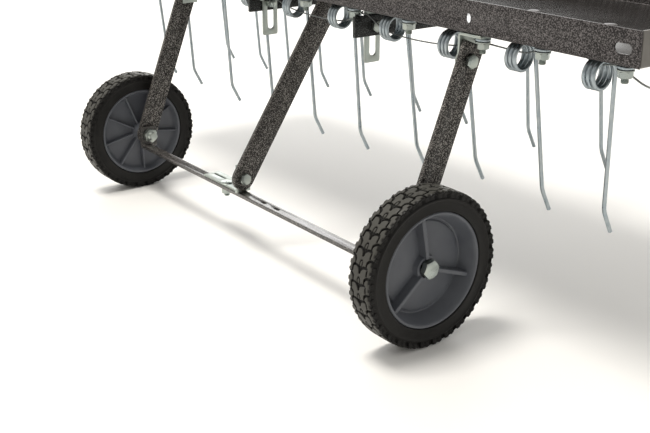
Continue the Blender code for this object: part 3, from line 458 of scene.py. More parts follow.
def tube(points, radius, sides):
    """A round wire along points, its ends cut square with a small chamfer."""
    points = np.asarray(points, float)
    ways = ways_across(points)
    turns = np.linspace(0, 2 * math.pi, sides, endpoint=False)
    rings = []
    for spot, (way, side, other) in zip(points, ways):
        rings.append(spot + radius * (np.outer(np.cos(turns), side) + np.outer(np.sin(turns), other)))
    chamfer = radius * 0.25
    first = points[0] + (rings[0] - points[0]) * 0.75
    last = points[-1] + (rings[-1] - points[-1]) * 0.75
    rings[0] = rings[0] + ways[0][0] * chamfer
    rings[-1] = rings[-1] - ways[-1][0] * chamfer
    return skin([first] + rings + [last])


def arc(centre, radius, first, last, steps, height):
    """Points round an arc between two angles in degrees, all at one height."""
    turns = np.radians(np.linspace(first, last, steps))
    return [(centre[0] + radius * math.cos(t), centre[1] + radius * math.sin(t), height) for t in turns]


def tine_path(reach, sway, rise, behind):
    """From the hook's end round its bolt, along one side of the coil, into it, round it and down the leg.

    The arm lies along the front of the coil, or behind it for the tine that the lift bar swings past.
    """
    left = -COIL_TURNS * COIL_PITCH / 2
    right = -left
    bolt_y = HOOK - ARM_BACK
    first_turn = 0.0 if behind else 0.25
    if behind:
        points = arc((reach, bolt_y), HOOK, 115, -90, 22, COIL)
        points += [(reach + (left + BEND - reach) * s, -ARM_BACK, COIL) for s in (0.3, 0.6, 0.9)]
        points += arc((left + BEND, BEND - ARM_BACK), BEND, 270, 180, 8, COIL)
    else:
        points = front_arm(reach, bolt_y, left)
    steps = round((COIL_TURNS - first_turn) * 32)
    for step in range(steps + 1):
        turn = 2 * math.pi * (step / 32 + first_turn)
        points.append((left + (right - left) * step / steps, COIL * math.sin(turn), COIL * math.cos(turn)))
    return points + leg_points(right, sway, rise)


def front_arm(reach, bolt_y, left):
    """The hook and the arm along the front of the coil."""
    points = arc((reach, bolt_y), HOOK, -150, 75, 22, COIL)
    start = Vector(points[-1])
    end = Vector((left + BEND, COIL, COIL))
    way = Vector((-math.sin(math.radians(75)), math.cos(math.radians(75)), 0))
    for s in np.linspace(0, 1, 8)[1:]:
        middle = start + way * 0.012
        points.append(tuple(start * (1 - s) ** 2 + middle * 2 * s * (1 - s) + end * s ** 2))
    for turn in np.radians(np.linspace(0, 90, 8)[1:]):
        points.append((left + BEND - BEND * math.sin(turn), COIL, COIL - BEND + BEND * math.cos(turn)))
    points.append((left, COIL, (COIL - BEND) / 2))
    return points


def leg_points(right, sway, rise):
    """The leg with its knee and its toe."""
    knee = Vector((right + sway, KNEE_FORWARD, KNEE_HEIGHT - COIL_HEIGHT + rise))
    toe = Vector((right + sway, TIP_FORWARD, TIP_HEIGHT - COIL_HEIGHT + rise))
    top = Vector((right, COIL, 0))
    leg = knee - top
    points = [tuple(top + leg * 0.03 + Vector((-sway * 0.01, -0.0002, 0)))]
    points += [tuple(top + leg * s) for s in (0.07, 0.3, 0.6, 0.9)]
    before = knee - leg.normalized() * 0.006
    after = knee + (toe - knee).normalized() * 0.006
    for s in np.linspace(0, 1, 8):
        points.append(tuple(before * (1 - s) ** 2 + knee * 2 * s * (1 - s) + after * s ** 2))
    points.append(tuple(toe))
    return points


def tine_place(row, index):
    """The middle of a tine's coil."""
    if row == "front":
        return 0.4186 - TINE_PITCH * index + FRONT_PLACE[index], FRONT_ROW, COIL_HEIGHT
    if index <= 2:
        coil = BRACKET_BOLT_X + 0.1491 - TINE_PITCH * index
    elif index < 7:
        coil = 0.1703 - TINE_PITCH * (index - 3)
    else:
        coil = -BRACKET_BOLT_X - HOOK_REACH - TINE_PITCH * (index - 8)
    return coil + REAR_PLACE[index], REAR_ROW, COIL_HEIGHT - (BRACKET_DROP if index in (2, 8) else 0)


SPRING = plated_spring_wire()
tines = []
for row, sways, rises in (("rear", REAR_SWAY, REAR_RISE), ("front", FRONT_SWAY, FRONT_RISE)):
    for index in range(TINES_IN_ROW):
        name = f"{row}_tine_{index + 1}"
        place = tine_place(row, index)
        reach = BRACKET_BOLT_X - place[0] if name == "rear_tine_3" else HOOK_REACH
        path = tine_path(reach, sways[index], rises[index], name == "rear_tine_6")
        mesh = make_mesh(name, placed(tube(path, WIRE, 14), Matrix.Translation(place)))
        add_piece(name + "_wire", mesh, "tray", SPRING, [name])
        tines.append((name, index, place, reach))


# Tine bolts
# A zinc-plated steel bolt holds each tine's hook: its low domed head lies on the tray floor and is enamelled
# with the tray, and its washer and hexagon nut clamp the hook from below. The thread shows past the nut.

NUT_FLATS = 0.0127
NUT_HIGH = 0.0065
TINE_GRIP = 0.0084
TINE_THREAD = 0.0039
WASHER_HALF = 0.0083
WASHER_THICK = 0.0015
DOME = [(0.0001, 0.0012), (0.0040, 0.0011), (0.0060, 0.0008), (0.0072, 0.0003), (0.0075, 0.0), (0.0001, 0.0)]


# Bright zinc electroplate on steel: silvery and a little cloudy over 12 mm, with a fine mottle. The crystals
# of real plating are far too small to see; the mottle is 0.9 mm, so that it shows.
def zinc_plate(name, colour, rough):
    material, tree, shader, place, tint = drifting_finish(
        name, 0.012, 4, (0.35, 0.7), (colour, "b4b9b1"), (rough, rough + 0.14))
    fine = add_node(tree, "TexNoise", {"Vector": place, "Scale": 1 / 0.0009, "Detail": 2})
    fleck = add_node(tree, "MapRange", {"Value": fine, "From Min": 0.3, "From Max": 0.8, "To Max": 0.18})
    fill(shader, {
        "Base Color": add_node(tree, "Mix", {0: fleck, 6: tint, 7: linear("8f9894")}, 2, data_type="RGBA"),
        "Metallic": 1,
        "Normal": add_node(tree, "Bump", {"Height": fine, "Distance": 0.00008, "Strength": 0.35}),
    })
    return material


def merged(*solids):
    """One solid of several, each a pair of corners and faces."""
    corners = []
    faces = []
    for points, polygons in solids:
        start = sum(len(earlier) for earlier in corners)
        corners.append(points)
        faces.extend(tuple(corner + start for corner in polygon) for polygon in polygons)
    return np.vstack(corners), faces


def turned(profile, steps):
    """A closed profile of (radius, height) pairs turned round Z."""
    profile = np.array(profile)
    turns = np.linspace(0, 2 * math.pi, steps, endpoint=False)
    radii, heights = profile.T
    rings = [np.stack([radii * math.cos(t), radii * math.sin(t), heights], 1) for t in turns]
    return skin(rings, closed=True)


def level_ring(radius, turns, height):
    """A ring of corners round Z, with one radius or one for each turn."""
    return np.stack([radius * np.cos(turns), radius * np.sin(turns), height + 0 * turns], 1)


def hexagon(flats, low, high, chamfer_low, chamfer_high):
    """A nut or a bolt head, with its corners chamfered at the ends that ask for it."""
    turns = np.linspace(0, 2 * math.pi, 48, endpoint=False)
    reach = flats / 2 / np.cos((turns + math.pi / 6) % (math.pi / 3) - math.pi / 6)
    round_off = flats / 2 * 0.95
    slope = math.tan(math.radians(30))
    drop = (reach - round_off) * slope
    rings = [level_ring(round_off, turns, low)] if chamfer_low else []
    rings.append(level_ring(reach, turns, low + (drop if chamfer_low else 0)))
    rings.append(level_ring(reach, turns, high - (drop if chamfer_high else 0)))
    if chamfer_high:
        rings.append(level_ring(round_off, turns, high))
    return skin(rings)


def thread(radius, low, high, pitch=0.00125):
    """A threaded end with a pitch of 1.25 mm."""
    turns = np.linspace(0, 2 * math.pi, 24, endpoint=False)
    rings = []
    for height in np.arange(low, high, pitch / 7):
        phase = (height / pitch - turns / (2 * math.pi)) % 1
        depth = 0.55 * pitch * (1 - np.abs(2 * phase - 1))
        reach = np.minimum(radius - depth, radius - 0.0009 + (high - height))
        rings.append(level_ring(reach, turns, height))
    rings.append(level_ring(radius - 0.001, turns, high))
    return skin(rings)


def washer(inner, outer, low, high):
    """A flat ring round Z with its outer edges broken."""
    edge = 0.00025
    profile = [(inner, high), (outer - edge, high), (outer, high - edge), (outer, low + edge),
               (outer - edge, low), (inner, low)]
    return turned(profile, 40)


def axis_matrix(seat, way):
    """Puts a local Z axis along way at seat."""
    return Matrix.Translation(seat) @ Vector(way).to_track_quat("Z", "Y").to_matrix().to_4x4()


ZINC = zinc_plate("bright_zinc", "a6aeab", 0.24)
for name, index, place, reach in tines:
    grip = TINE_GRIP + COIL_HEIGHT - place[2]
    nut = merged(
        placed(hexagon(NUT_FLATS, grip, grip + NUT_HIGH, True, True), Matrix.Rotation(index * 0.53, 4, "Z")),
        thread(TINE_THREAD, 0.0021, grip + 0.0117),
        washer(0.0038, WASHER_HALF, grip - WASHER_THICK, grip),
    )
    seat = axis_matrix((place[0] + reach, place[1] + HOOK - ARM_BACK, FLOOR_TOP), (0, 0, -1))
    mesh = make_mesh(name + "_nut", placed(nut, seat))
    add_piece(name + "_nut", mesh, "tray", ZINC)
    head = placed(turned(DOME, 32), axis_matrix(seat.translation, (0, 0, 1)))
    add_piece(name + "_bolt_head", make_mesh(name + "_head", head), "tray", ENAMEL)


# Retaining cable
# A 2 mm steel cable of six strands laid round a core. It is threaded through all the coils, over the rails
# and round the right-hand end, and lies slack in the coils, so that a broken tine stays on the machine.

CABLE_RADIUS = 0.001
CABLE_STRANDS = 6
CABLE_LAY = 0.012
CABLE_END = 0.028
RAIL_OUTER = 0.1202
RAIL_HALF_THICK = 0.0025
RAIL_TOP = 0.3185
PLATE_REAR = 0.0924


# Galvanised steel strand, drawn and laid: dull grey metal, darker where grime has gathered over some 6 mm.
def steel_strand():
    material, tree, shader, place, colour = drifting_finish(
        "steel_strand", 0.006, 3, (0.35, 0.7), ("7b7e7f", "a3a7a5"), (0.38, 0.52))
    fill(shader, {"Metallic": 1})
    return material


def smooth_route(points, count):
    """A smooth line through all the points."""
    points = np.array(points)
    padded = np.vstack([2 * points[0] - points[1], points, 2 * points[-1] - points[-2]])
    route = []
    for place in np.linspace(0, len(points) - 1, count):
        index = min(int(place), len(points) - 2)
        share = place - index
        a, b, c, d = padded[index:index + 4]
        route.append(0.5 * (2 * b + (c - a) * share + (2 * a - 5 * b + 4 * c - d) * share ** 2
                            + (3 * b - a - 3 * c + d) * share ** 3))
    return np.array(route)


def cable_points():
    """The route: back along the rear row, round the right-hand end, and along the front row."""
    over_rail = RAIL_TOP + CABLE_RADIUS + 0.0008
    rail_x = RAIL_OUTER - RAIL_HALF_THICK
    behind_plate = PLATE_REAR - CABLE_RADIUS - 0.0016
    points = []
    for index in reversed(range(TINES_IN_ROW)):
        x, y, z = tine_place("rear", index)
        if index == 1:
            points += [(x, y + 0.0029, z + 0.0035), (x + 0.022, y + 0.0029, z + 0.0090),
                       (x + 0.050, y + 0.0074, z + 0.0125), (x + 0.076, y + 0.0064, z + 0.0125),
                       (x + 0.090, y + 0.0039, z + 0.0095)]
            continue
        if index == 0:
            points.append((x, y + 0.0029, z + 0.0085))
            continue
        points.append((x, y, COIL_HEIGHT - {3: 0.0080, 2: 0.0050}.get(index, 0.0063)))
        if index in (6, 4):
            side = -1 if index == 6 else 1
            crossing = [(rail_x + 0.006, behind_plate), (rail_x, behind_plate),
                        (rail_x - 0.0057, behind_plate), (rail_x - 0.0132, 0.0945)]
            points.extend((side * along, y, over_rail) for along, y in crossing[::-side])
        if index in (8, 2):
            side = -1 if index == 8 else 1
            forward = 0.006 if index == 8 else 0
            for offset in (-0.0029, 0.0029):
                points.append((side * 0.30245 + offset, TRAY_REAR + 0.0268 + forward, COIL_HEIGHT + 0.004))
    x, y, z = tine_place("rear", 0)
    for along, forward, up in ((0.0149, 0.0074, 0.0095), (0.0270, 0.0142, 0.0012), (0.0395, 0.0214, -0.0075),
                               (0.0440, 0.0400, -0.0130), (0.0300, 0.0850, -0.0140), (0.003, 0.131, -0.0098)):
        points.append((x + along, y + forward, z + up))
    low = COIL_HEIGHT - (COIL - WIRE) + 0.0016
    for index in range(TINES_IN_ROW):
        x, y, z = tine_place("front", index)
        if index == 6:
            points.append((-rail_x - 0.009, y, over_rail))
        points.append((x, y, over_rail if index in (3, 5) else low))
        if index == 2:
            points.append((rail_x + 0.009, y, over_rail))
    points = [(points[0][0] - CABLE_END, points[0][1], points[0][2])] + points
    points.append((points[-1][0] - CABLE_END, points[-1][1], points[-1][2]))
    return points


def laid_cable(points, radius, strands, lay):
    """A round bundle of strands, twisted one turn in each lay of length."""
    steps = np.concatenate([[0], np.cumsum(np.linalg.norm(np.diff(points, axis=0), axis=1))])
    turns = np.linspace(0, 2 * math.pi, strands * 4, endpoint=False)
    reach = radius * (0.80 + 0.20 * np.abs(np.cos(strands / 2 * turns)))
    rings = []
    for spot, (way, side, other), along in zip(points, ways_across(points), steps):
        spin = turns + 2 * math.pi * along / lay
        rings.append(spot + (np.outer(reach * np.cos(spin), side) + np.outer(reach * np.sin(spin), other)))
    return skin(rings)


cable_route = smooth_route(smooth_route(cable_points(), 76), 1500)
cable = make_mesh("tine_cable", laid_cable(cable_route, CABLE_RADIUS, CABLE_STRANDS, CABLE_LAY), 80)
add_piece("tine_cable_strand", cable, "tray", steel_strand(), ["tine_cable"])


# Arm brackets
# A short angle bent from 2.9 mm zinc-plated sheet stands inside each wheel arm. Its flange lies under the
# tray floor, where a tine's bolt holds it, and the arm turns on the bolt through its leg.

ARM_INNER = 0.3042
PIVOT = (0.0816, 0.2967)
PIVOT_HOLE = 0.0043
BRACKET_SHEET = 0.0029
BRACKET_FOOT = 0.2817
BRACKET_TOP = 0.3280
BRACKET_FLANGE = 0.0311
BRACKET_DEPTH = 0.025
FIT = 0.0003
BEND_ROUND = 0.0034


def round_hole(axis, a, b, radius, low, high):
    """A cutter for a round hole along an axis."""
    turns = np.linspace(0, 2 * math.pi, 32, endpoint=False)
    return plate([(a + radius * math.cos(t), b + radius * math.sin(t)) for t in turns], axis, low, high)


def rounded(corners, radii, steps=6):
    """An outline with each corner rounded by its own radius."""
    points = []
    for index, (corner, radius) in enumerate(zip(corners, radii)):
        spot = Vector(corner)
        before = (Vector(corners[index - 1]) - spot).normalized()
        after = (Vector(corners[(index + 1) % len(corners)]) - spot).normalized()
        if radius == 0:
            points.append(tuple(spot))
            continue
        half = before.angle(after) / 2
        reach = radius / math.tan(half)
        centre = spot + (before + after).normalized() * radius / math.sin(half)
        first = spot + before * reach - centre
        last = spot + after * reach - centre
        sweep = math.atan2(first.x * last.y - first.y * last.x, first.dot(last))
        for step in range(steps + 1):
            turn = sweep * step / steps
            points.append((centre.x + first.x * math.cos(turn) - first.y * math.sin(turn),
                           centre.y + first.x * math.sin(turn) + first.y * math.cos(turn)))
    return points


def bent_strip(corners, radius, thickness):
    """The section of a strip of sheet bent along corners, each bend rounded, to the left of its way."""
    points = [Vector(point) for point in rounded(corners, [0] + [radius] * (len(corners) - 2) + [0])]
    inner = []
    for index, point in enumerate(points):
        before = points[max(index - 1, 0)]
        after = points[min(index + 1, len(points) - 1)]
        way = (after - before).normalized()
        inner.append(tuple(point + Vector((-way.y, way.x)) * thickness))
    return [tuple(point) for point in points] + inner[::-1]


ZINC_SHEET = zinc_plate("zinc_sheet", "a9b1ad", 0.32)
for side in (1, -1):
    leg = ARM_INNER - FIT
    corners = [(leg - BRACKET_SHEET, BRACKET_FOOT), (leg - BRACKET_SHEET, BRACKET_TOP),
               (leg + BRACKET_FLANGE, BRACKET_TOP)]
    section = [(side * x, z) for x, z in bent_strip(corners, BEND_ROUND, -BRACKET_SHEET)]
    bracket = make_mesh("bracket", plate(section, "y", TRAY_REAR + 0.0002, TRAY_REAR + BRACKET_DEPTH), 30)
    low, high = sorted((side * (leg - CUTTER_PAST), side * (leg + CUTTER_PAST)))
    hole = make_mesh("hole", round_hole("x", PIVOT[0], PIVOT[1], PIVOT_HOLE, low, high))
    name = side_name("arm_bracket", side)
    add_piece(name + "_angle", softened(cut(bracket, hole), 0.0005), "tray", ZINC_SHEET, [name])


# Wheel arms
# Two arms of 6 x 30 mm flat steel bar, cut round at the axle and square above the pivot, drilled for both
# bolts and enamelled in the same hammertone, whose spots are paler on them.

WHEEL_RADIUS = 0.0889
ARM_OUTER = 0.3102
ARM_HALF = 0.015
ARM_PAST_PIVOT = 0.0195
AXLE_END_ROUND = 0.0148
TOP_END_ROUND = 0.0030
AXLE_HOLE = 0.0067

ENAMEL_BARS = hammertone("hammertone_bars", "1f1d1c", "b3aea8", 0.09, 0.36)
arm_length = math.hypot(PIVOT[0], PIVOT[1] - WHEEL_RADIUS)
arm_turn = math.atan2(PIVOT[1] - WHEEL_RADIUS, PIVOT[0])
arm_top = arm_length + ARM_PAST_PIVOT
corners = [(-ARM_HALF, -ARM_HALF), (arm_top, -ARM_HALF), (arm_top, ARM_HALF), (-ARM_HALF, ARM_HALF)]
outline = []
for along, across in rounded(corners, [AXLE_END_ROUND, TOP_END_ROUND, TOP_END_ROUND, AXLE_END_ROUND], 10):
    outline.append((along * math.cos(arm_turn) - across * math.sin(arm_turn),
                    WHEEL_RADIUS + along * math.sin(arm_turn) + across * math.cos(arm_turn)))
for side in (1, -1):
    low, high = sorted((side * ARM_INNER, side * ARM_OUTER))
    arm = make_mesh("arm", plate(outline, "x", low, high))
    holes = [make_mesh("hole", round_hole("x", y, z, radius, low - CUTTER_PAST, high + CUTTER_PAST))
             for y, z, radius in ((0, WHEEL_RADIUS, AXLE_HOLE), (PIVOT[0], PIVOT[1], PIVOT_HOLE))]
    name = side_name("wheel_arm", side)
    add_piece(name + "_bar", softened(cut(arm, *holes), 0.0008), "wheel_frame", ENAMEL_BARS, [name])


# Tie bar
# A flat steel bar that ties the feet of the two wheel arms, with its ends turned up and drilled for the axle
# bolts. Its hammertone is paler and glossier, with a clear film on top, and it keeps its solid's shape.


def soften_node(name, width, finish):
    """Gives a piece of the solid model rounded edges and its finish."""
    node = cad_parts[name]
    node.data.materials.clear()
    node.data.materials.append(finish)
    weld = node.modifiers.new("weld", "WELD")
    weld.merge_threshold = 0.00002
    bevel = node.modifiers.new("soften", "BEVEL")
    bevel.width = width
    bevel.segments = 2
    bevel.limit_method = "ANGLE"
    bevel.angle_limit = math.radians(40)
    bevel.harden_normals = False
    node.data.shade_smooth()
    node.data.set_sharp_from_angle(angle=math.radians(60))


soften_node("tie_bar", 0.0006, hammertone("hammertone_tie_bar", "2a2827", "98938e", 0.07, 0.32, 0.6))


# Lift angle
# A zinc-plated angle of 2.5 mm sheet. Its foot, with a slot in it, is bolted on the tie bar, and its upright
# holds the foot of the lift bar. A corner of its foot and the front of its upright are cut away for the bar.

ANGLE_SHEET = 0.0025
ANGLE_LEFT = -0.110
ANGLE_RIGHT = -0.0163
ANGLE_FOOT = 0.0753
ANGLE_TOP = 0.115
ANGLE_REAR = -0.0165
ANGLE_FRONT = 0.0115
ANGLE_SLOT = ((-0.1026, 0.0007), (-0.0758, 0.0007), 0.0016)

corners = [(ANGLE_LEFT, ANGLE_FOOT), (ANGLE_RIGHT, ANGLE_FOOT), (ANGLE_RIGHT, ANGLE_TOP)]
section = bent_strip(corners, BEND_ROUND, ANGLE_SHEET)
angle = make_mesh("angle", plate(section, "y", ANGLE_REAR, ANGLE_FRONT), 30)
slot = make_mesh("slot", plate(stadium(*ANGLE_SLOT, 8), "z", 0.07, 0.082))
corner = make_mesh("corner", block((-0.12, -0.02, 0.07), (-0.0225, -0.0132, 0.09)))
top = make_mesh("top", block((-0.03, 0.0042, 0.0740), (-0.01, 0.02, 0.12)))
add_piece("lift_angle_sheet", softened(cut(angle, slot, corner, top), 0.0004), "wheel_frame", ZINC_SHEET,
          ["lift_angle"])


# Lift bar and its grip
# A long flat steel bar in the arms' hammertone, which leans up through the tray floor and keeps its solid's
# shape. Its top is dipped in soft vinyl: a sleeve with finger rings, a rolled lower edge and a round end.

BAR_FOOT = (-0.0089, 0.0964)
BAR_LEAN = math.radians(33)
BAR_HALF_WIDE = 0.0163
GRIP_START = 0.670
GRIP_END = 0.800
GRIP_HALF = 0.0195
GRIP_THICK = 0.0065
FINGER_RING = 0.013


# Soft black vinyl (PVC), dipped and cured: a satin skin with an orange peel of 3 mm, greyer where hands have
# worn it over some 20 mm.
def dipped_vinyl():
    material, tree, shader, place, colour = drifting_finish(
        "dipped_vinyl", 0.02, 3, (0.4, 0.75), ("1b1b1b", "2a2a29"), (0.34, 0.48))
    peel = add_node(tree, "TexNoise", {"Vector": place, "Scale": 1 / 0.003, "Detail": 2})
    fill(shader, {"Normal": add_node(tree, "Bump", {"Height": peel, "Distance": 0.0002, "Strength": 0.35})})
    return material


def grip_ring(along, wide, thick):
    """A rounded rectangle across the bar at a distance from its foot."""
    ring = []
    corner = min(thick * 0.98, wide)
    for quarter, (a, b) in enumerate(((1, 1), (-1, 1), (-1, -1), (1, -1))):
        for step in range(7):
            turn = math.pi / 2 * (quarter + step / 6)
            across = a * (wide - corner) + corner * math.cos(turn)
            level = b * (thick - corner) + corner * math.sin(turn)
            ring.append((bar_middle + level,
                         BAR_FOOT[0] + along * math.sin(BAR_LEAN) - across * math.cos(BAR_LEAN),
                         BAR_FOOT[1] + along * math.cos(BAR_LEAN) + across * math.sin(BAR_LEAN)))
    return ring


soften_node("lift_bar", 0.0007, ENAMEL_BARS)

rings = [grip_ring(along, BAR_HALF_WIDE, 0.0033) for along in (GRIP_START + 0.004, GRIP_START)]
for along in np.linspace(GRIP_START, GRIP_END, 110):
    past = along - GRIP_START
    rolled = 0.0006 * math.exp(-((past - 0.003) / 0.0022) ** 2) - 0.0012 * math.exp(-past / 0.0006)
    finger = 0
    if FINGER_RING < past < 9 * FINGER_RING:
        finger = 0.0007 * (0.5 - 0.5 * math.cos(past / FINGER_RING * 2 * math.pi))
    rings.append(grip_ring(along, GRIP_HALF + rolled - finger, GRIP_THICK + rolled - finger * 0.7))
for turn in np.radians(np.linspace(0, 88, 16)[1:]):
    rings.append(grip_ring(GRIP_END + GRIP_HALF * math.sin(turn), max(GRIP_HALF * math.cos(turn), 0.0007),
                           GRIP_THICK * (1 - 0.45 * math.sin(turn) ** 6)))
add_piece("lift_grip_sleeve", make_mesh("lift_grip", skin(rings), 60), "lift_handle", dipped_vinyl(),
          ["lift_grip"])


# Slotted plates
# Two plates bent from 2.5 mm zinc-plated sheet hang from the tray floor by a short shelf, one inside each
# rail. The drawbar's rear bolt climbs in the slot of each, which sets the drawbar's angle.

SLOT_PLATE_X = (0.1124, 0.1149)
SLOT_PLATE_FRONT = 0.1164
SLOT_PLATE_FOOT = 0.2593
SLOT_PLATE_TOP = 0.3278
SLOT_PLATE_ROUND = 0.0030
SHELF_X = (0.0924, 0.1135)
SHELF_REAR = 0.1075
SLOT_Y = 0.1053
SLOT_LOW = 0.2675
SLOT_HIGH = 0.312
SLOT_RADIUS = 0.0052

corners = [(PLATE_REAR, SLOT_PLATE_FOOT), (SLOT_PLATE_FRONT, SLOT_PLATE_FOOT),
           (SLOT_PLATE_FRONT, SLOT_PLATE_TOP), (PLATE_REAR, SLOT_PLATE_TOP)]
outline = rounded(corners, [SLOT_PLATE_ROUND, SLOT_PLATE_ROUND, 0, 0])
opening = stadium((SLOT_Y, SLOT_LOW + SLOT_RADIUS), (SLOT_Y, SLOT_HIGH - SLOT_RADIUS), SLOT_RADIUS)
for side in (1, -1):
    low, high = sorted(side * x for x in SLOT_PLATE_X)
    leg = make_mesh("leg", plate(outline, "x", low, high))
    slot = make_mesh("slot", plate(opening, "x", low - CUTTER_PAST, high + CUTTER_PAST))
    low, high = sorted(side * x for x in SHELF_X)
    shelf = make_mesh("shelf", block((low, SHELF_REAR, 0.3255), (high, SLOT_PLATE_FRONT, 0.3280)))
    sheet = joined("plate", [softened(cut(leg, slot), 0.0006, 3), softened(shelf, 0.0004)])
    name = side_name("slotted_plate", side)
    add_piece(name + "_sheet", sheet, "tray", ZINC_SHEET, [name])


# Front brackets, drawbar rails and hitch clevis
# Two zinc-plated brackets under the tray's front edge hold the two rails, flat steel bars on edge in a
# blacker hammertone. They run together at the clevis: a square tube with a jaw plate welded on its top and
# bottom, in rippled beads along both its edges. All but the beads keep their solids' shapes.

RAIL_MIDDLE = 0.3058
TUBE_HALF = 0.0127
WELD_START = 1.0935
WELD_END = 1.1285
WELD_RADIUS = 0.0017
WELD_RIPPLE = 0.0021

ENAMEL_BLACK = hammertone("hammertone_black", "121313", "7b8180", 0.046, 0.34)
for side in (1, -1):
    soften_node(side_name("front_bracket", side), 0.0004, ZINC_SHEET)
    soften_node(side_name("drawbar_rail", side), 0.0005, ENAMEL_BLACK)
soften_node("hitch_clevis", 0.0005, ENAMEL_BARS)

for side in (1, -1):
    for level in (1, -1):
        bead = []
        for along in np.linspace(WELD_START, WELD_END, 120):
            radius = WELD_RADIUS + 0.00025 * math.cos((along - WELD_START) / WELD_RIPPLE * 2 * math.pi)
            ring = []
            for turn in np.linspace(0, 2 * math.pi, 12, endpoint=False):
                ring.append((side * TUBE_HALF + radius * math.cos(turn), along,
                             RAIL_MIDDLE + level * TUBE_HALF + radius * math.sin(turn)))
            bead.append(ring)
        name = side_name("jaw_weld_top" if level > 0 else "jaw_weld_bottom", side)
        add_piece(name, make_mesh(name, skin(bead), 70), "drawbar", ENAMEL_BARS)


# Bolts of the joints
# Hexagon bolts and nuts of zinc-plated steel, with chamfered corners and a thread that shows past the nut:
# one at each axle, arm pivot, slot and front pivot, one in the lift bar, two through the clevis, and one with
# a low domed head in the lift angle.

HALF_TRACK = 0.3376
SLOT_BOLT = (0.1044, 0.3045)
FRONT_PIVOT_Y = 0.345
HITCH_BOLTS_Y = (0.965, 1.065)
HITCH_BOLT_X = 0.0183
ANGLE_BOLT_PLACE = (-0.060, -0.0065, 0.0781)
SMALL_BOLT = {"radius": 0.00397, "head": 0.0052, "nut": NUT_HIGH}


def bolt(radius, flats, head, grip, nut, tail, head_turn, nut_turn):
    """A bolt along +Z with the seat of its head at 0: the head, the shank, the nut and the thread past it."""
    shank = [(0.0001, 0.001 - head), (radius * 0.98, 0.001 - head), (radius * 0.98, grip + 0.001),
             (0.0001, grip + 0.001)]
    return merged(
        placed(hexagon(flats, -head, -0.0003, True, False), Matrix.Rotation(head_turn, 4, "Z")),
        washer(radius * 0.6, flats * 0.475, -0.0004, 0.0),
        turned(shank, 24),
        placed(hexagon(flats, grip, grip + nut, True, True), Matrix.Rotation(nut_turn, 4, "Z")),
        thread(radius, grip + nut - 0.002, grip + nut + tail),
    )


axle_bolt = bolt(radius=0.00635, flats=0.019, head=0.0075, grip=0.0464, nut=0.0080, tail=0.004,
                 head_turn=0.35, nut_turn=0.2)
arm_bolt = bolt(flats=0.0143, grip=0.0098, tail=0.004, head_turn=0.2, nut_turn=0.5, **SMALL_BOLT)
rail_bolt = bolt(flats=0.0127, grip=0.0084, tail=0.003, head_turn=0.1, nut_turn=0.3, **SMALL_BOLT)
bar_bolt = bolt(flats=0.0143, grip=0.0094, tail=0.004, head_turn=0.25, nut_turn=0.5, **SMALL_BOLT)
hitch_bolt = bolt(flats=0.0127, grip=0.0366, tail=0.004, head_turn=0.15, nut_turn=0.45, **SMALL_BOLT)
angle_bolt = merged(
    turned([(0.0001, -0.0013), (0.0040, -0.0012), (0.0070, -0.0009), (0.0092, -0.0004), (0.0098, 0.0),
            (0.0001, 0.0)], 40),
    placed(hexagon(NUT_FLATS, 0.0084, 0.0084 + NUT_HIGH, True, True), Matrix.Rotation(0.1, 4, "Z")),
    thread(SMALL_BOLT["radius"], 0.0, 0.0189),
)
seats = [
    ("lift_angle_bolt", angle_bolt, ANGLE_BOLT_PLACE, (0, 0, -1), "wheel_frame"),
    ("lift_bar_bolt", bar_bolt, (BAR_RIGHT + FIT, BAR_FOOT[0], BAR_FOOT[1]), (-1, 0, 0), "wheel_frame"),
]
for number, y in enumerate(HITCH_BOLTS_Y, 1):
    seats.append((f"hitch_bolt_{number}", hitch_bolt, (HITCH_BOLT_X, y, RAIL_MIDDLE), (-1, 0, 0), "drawbar"))
for side in (1, -1):
    for base, solid, x, y, z, body in (
        ("axle_bolt", axle_bolt, HALF_TRACK + 0.0073, 0, WHEEL_RADIUS, "wheel_frame"),
        ("arm_pivot_bolt", arm_bolt, ARM_OUTER + FIT, PIVOT[0], PIVOT[1], "tray"),
        ("slot_bolt", rail_bolt, RAIL_OUTER + FIT, SLOT_BOLT[0], SLOT_BOLT[1], "drawbar"),
        ("front_pivot_bolt", rail_bolt, RAIL_OUTER + FIT, FRONT_PIVOT_Y, RAIL_MIDDLE, "tray"),
    ):
        seats.append((side_name(base, side), solid, (side * x, y, z), (-side, 0, 0), body))
for name, solid, seat, way, body in seats:
    mesh = make_mesh(name, placed(solid, axis_matrix(seat, way)))
    add_piece(name + "_look", mesh, body, ZINC, [name])


# Hitch pin and clip
# A zinc-plated steel pin, turned from bar, drops through both jaws and keeps its solid's shape. A hair clip
# of 2.8 mm spring wire holds it: a straight leg through the pin, a round loop and a waved outer leg.

PIN_Y = 1.170
PIN_RADIUS = 0.00635
JAW_THICKNESS = 0.006
CLIP_WIRE = 0.0014
CLIP_LOOP = 0.0065
CLIP_HEIGHT = RAIL_MIDDLE - TUBE_HALF - JAW_THICKNESS - 0.0131


def clip_path():
    """The clip's middle line, from the end of its straight leg."""
    outer = PIN_RADIUS + CLIP_WIRE + 0.0003
    middle = outer / 2
    start = math.atan2(-middle, -0.0052)
    points = [(-0.018, 0, 0), (-0.009, 0, 0), (0, 0, 0), (PIN_RADIUS, 0, 0), (0.0105, 0.0001, 0)]
    for step in range(1, 15):
        turn = start - 2 * start * step / 15
        points.append((0.022 + CLIP_LOOP * math.cos(turn), middle + CLIP_LOOP * math.sin(turn), 0))
    points += [(0.0105, outer - 0.0001, 0), (PIN_RADIUS, outer, 0), (0, outer, 0), (-PIN_RADIUS, outer, 0),
               (-0.012, outer + 0.0006, 0), (-0.018, outer + 0.002, 0)]
    return smooth_route(points, 140)


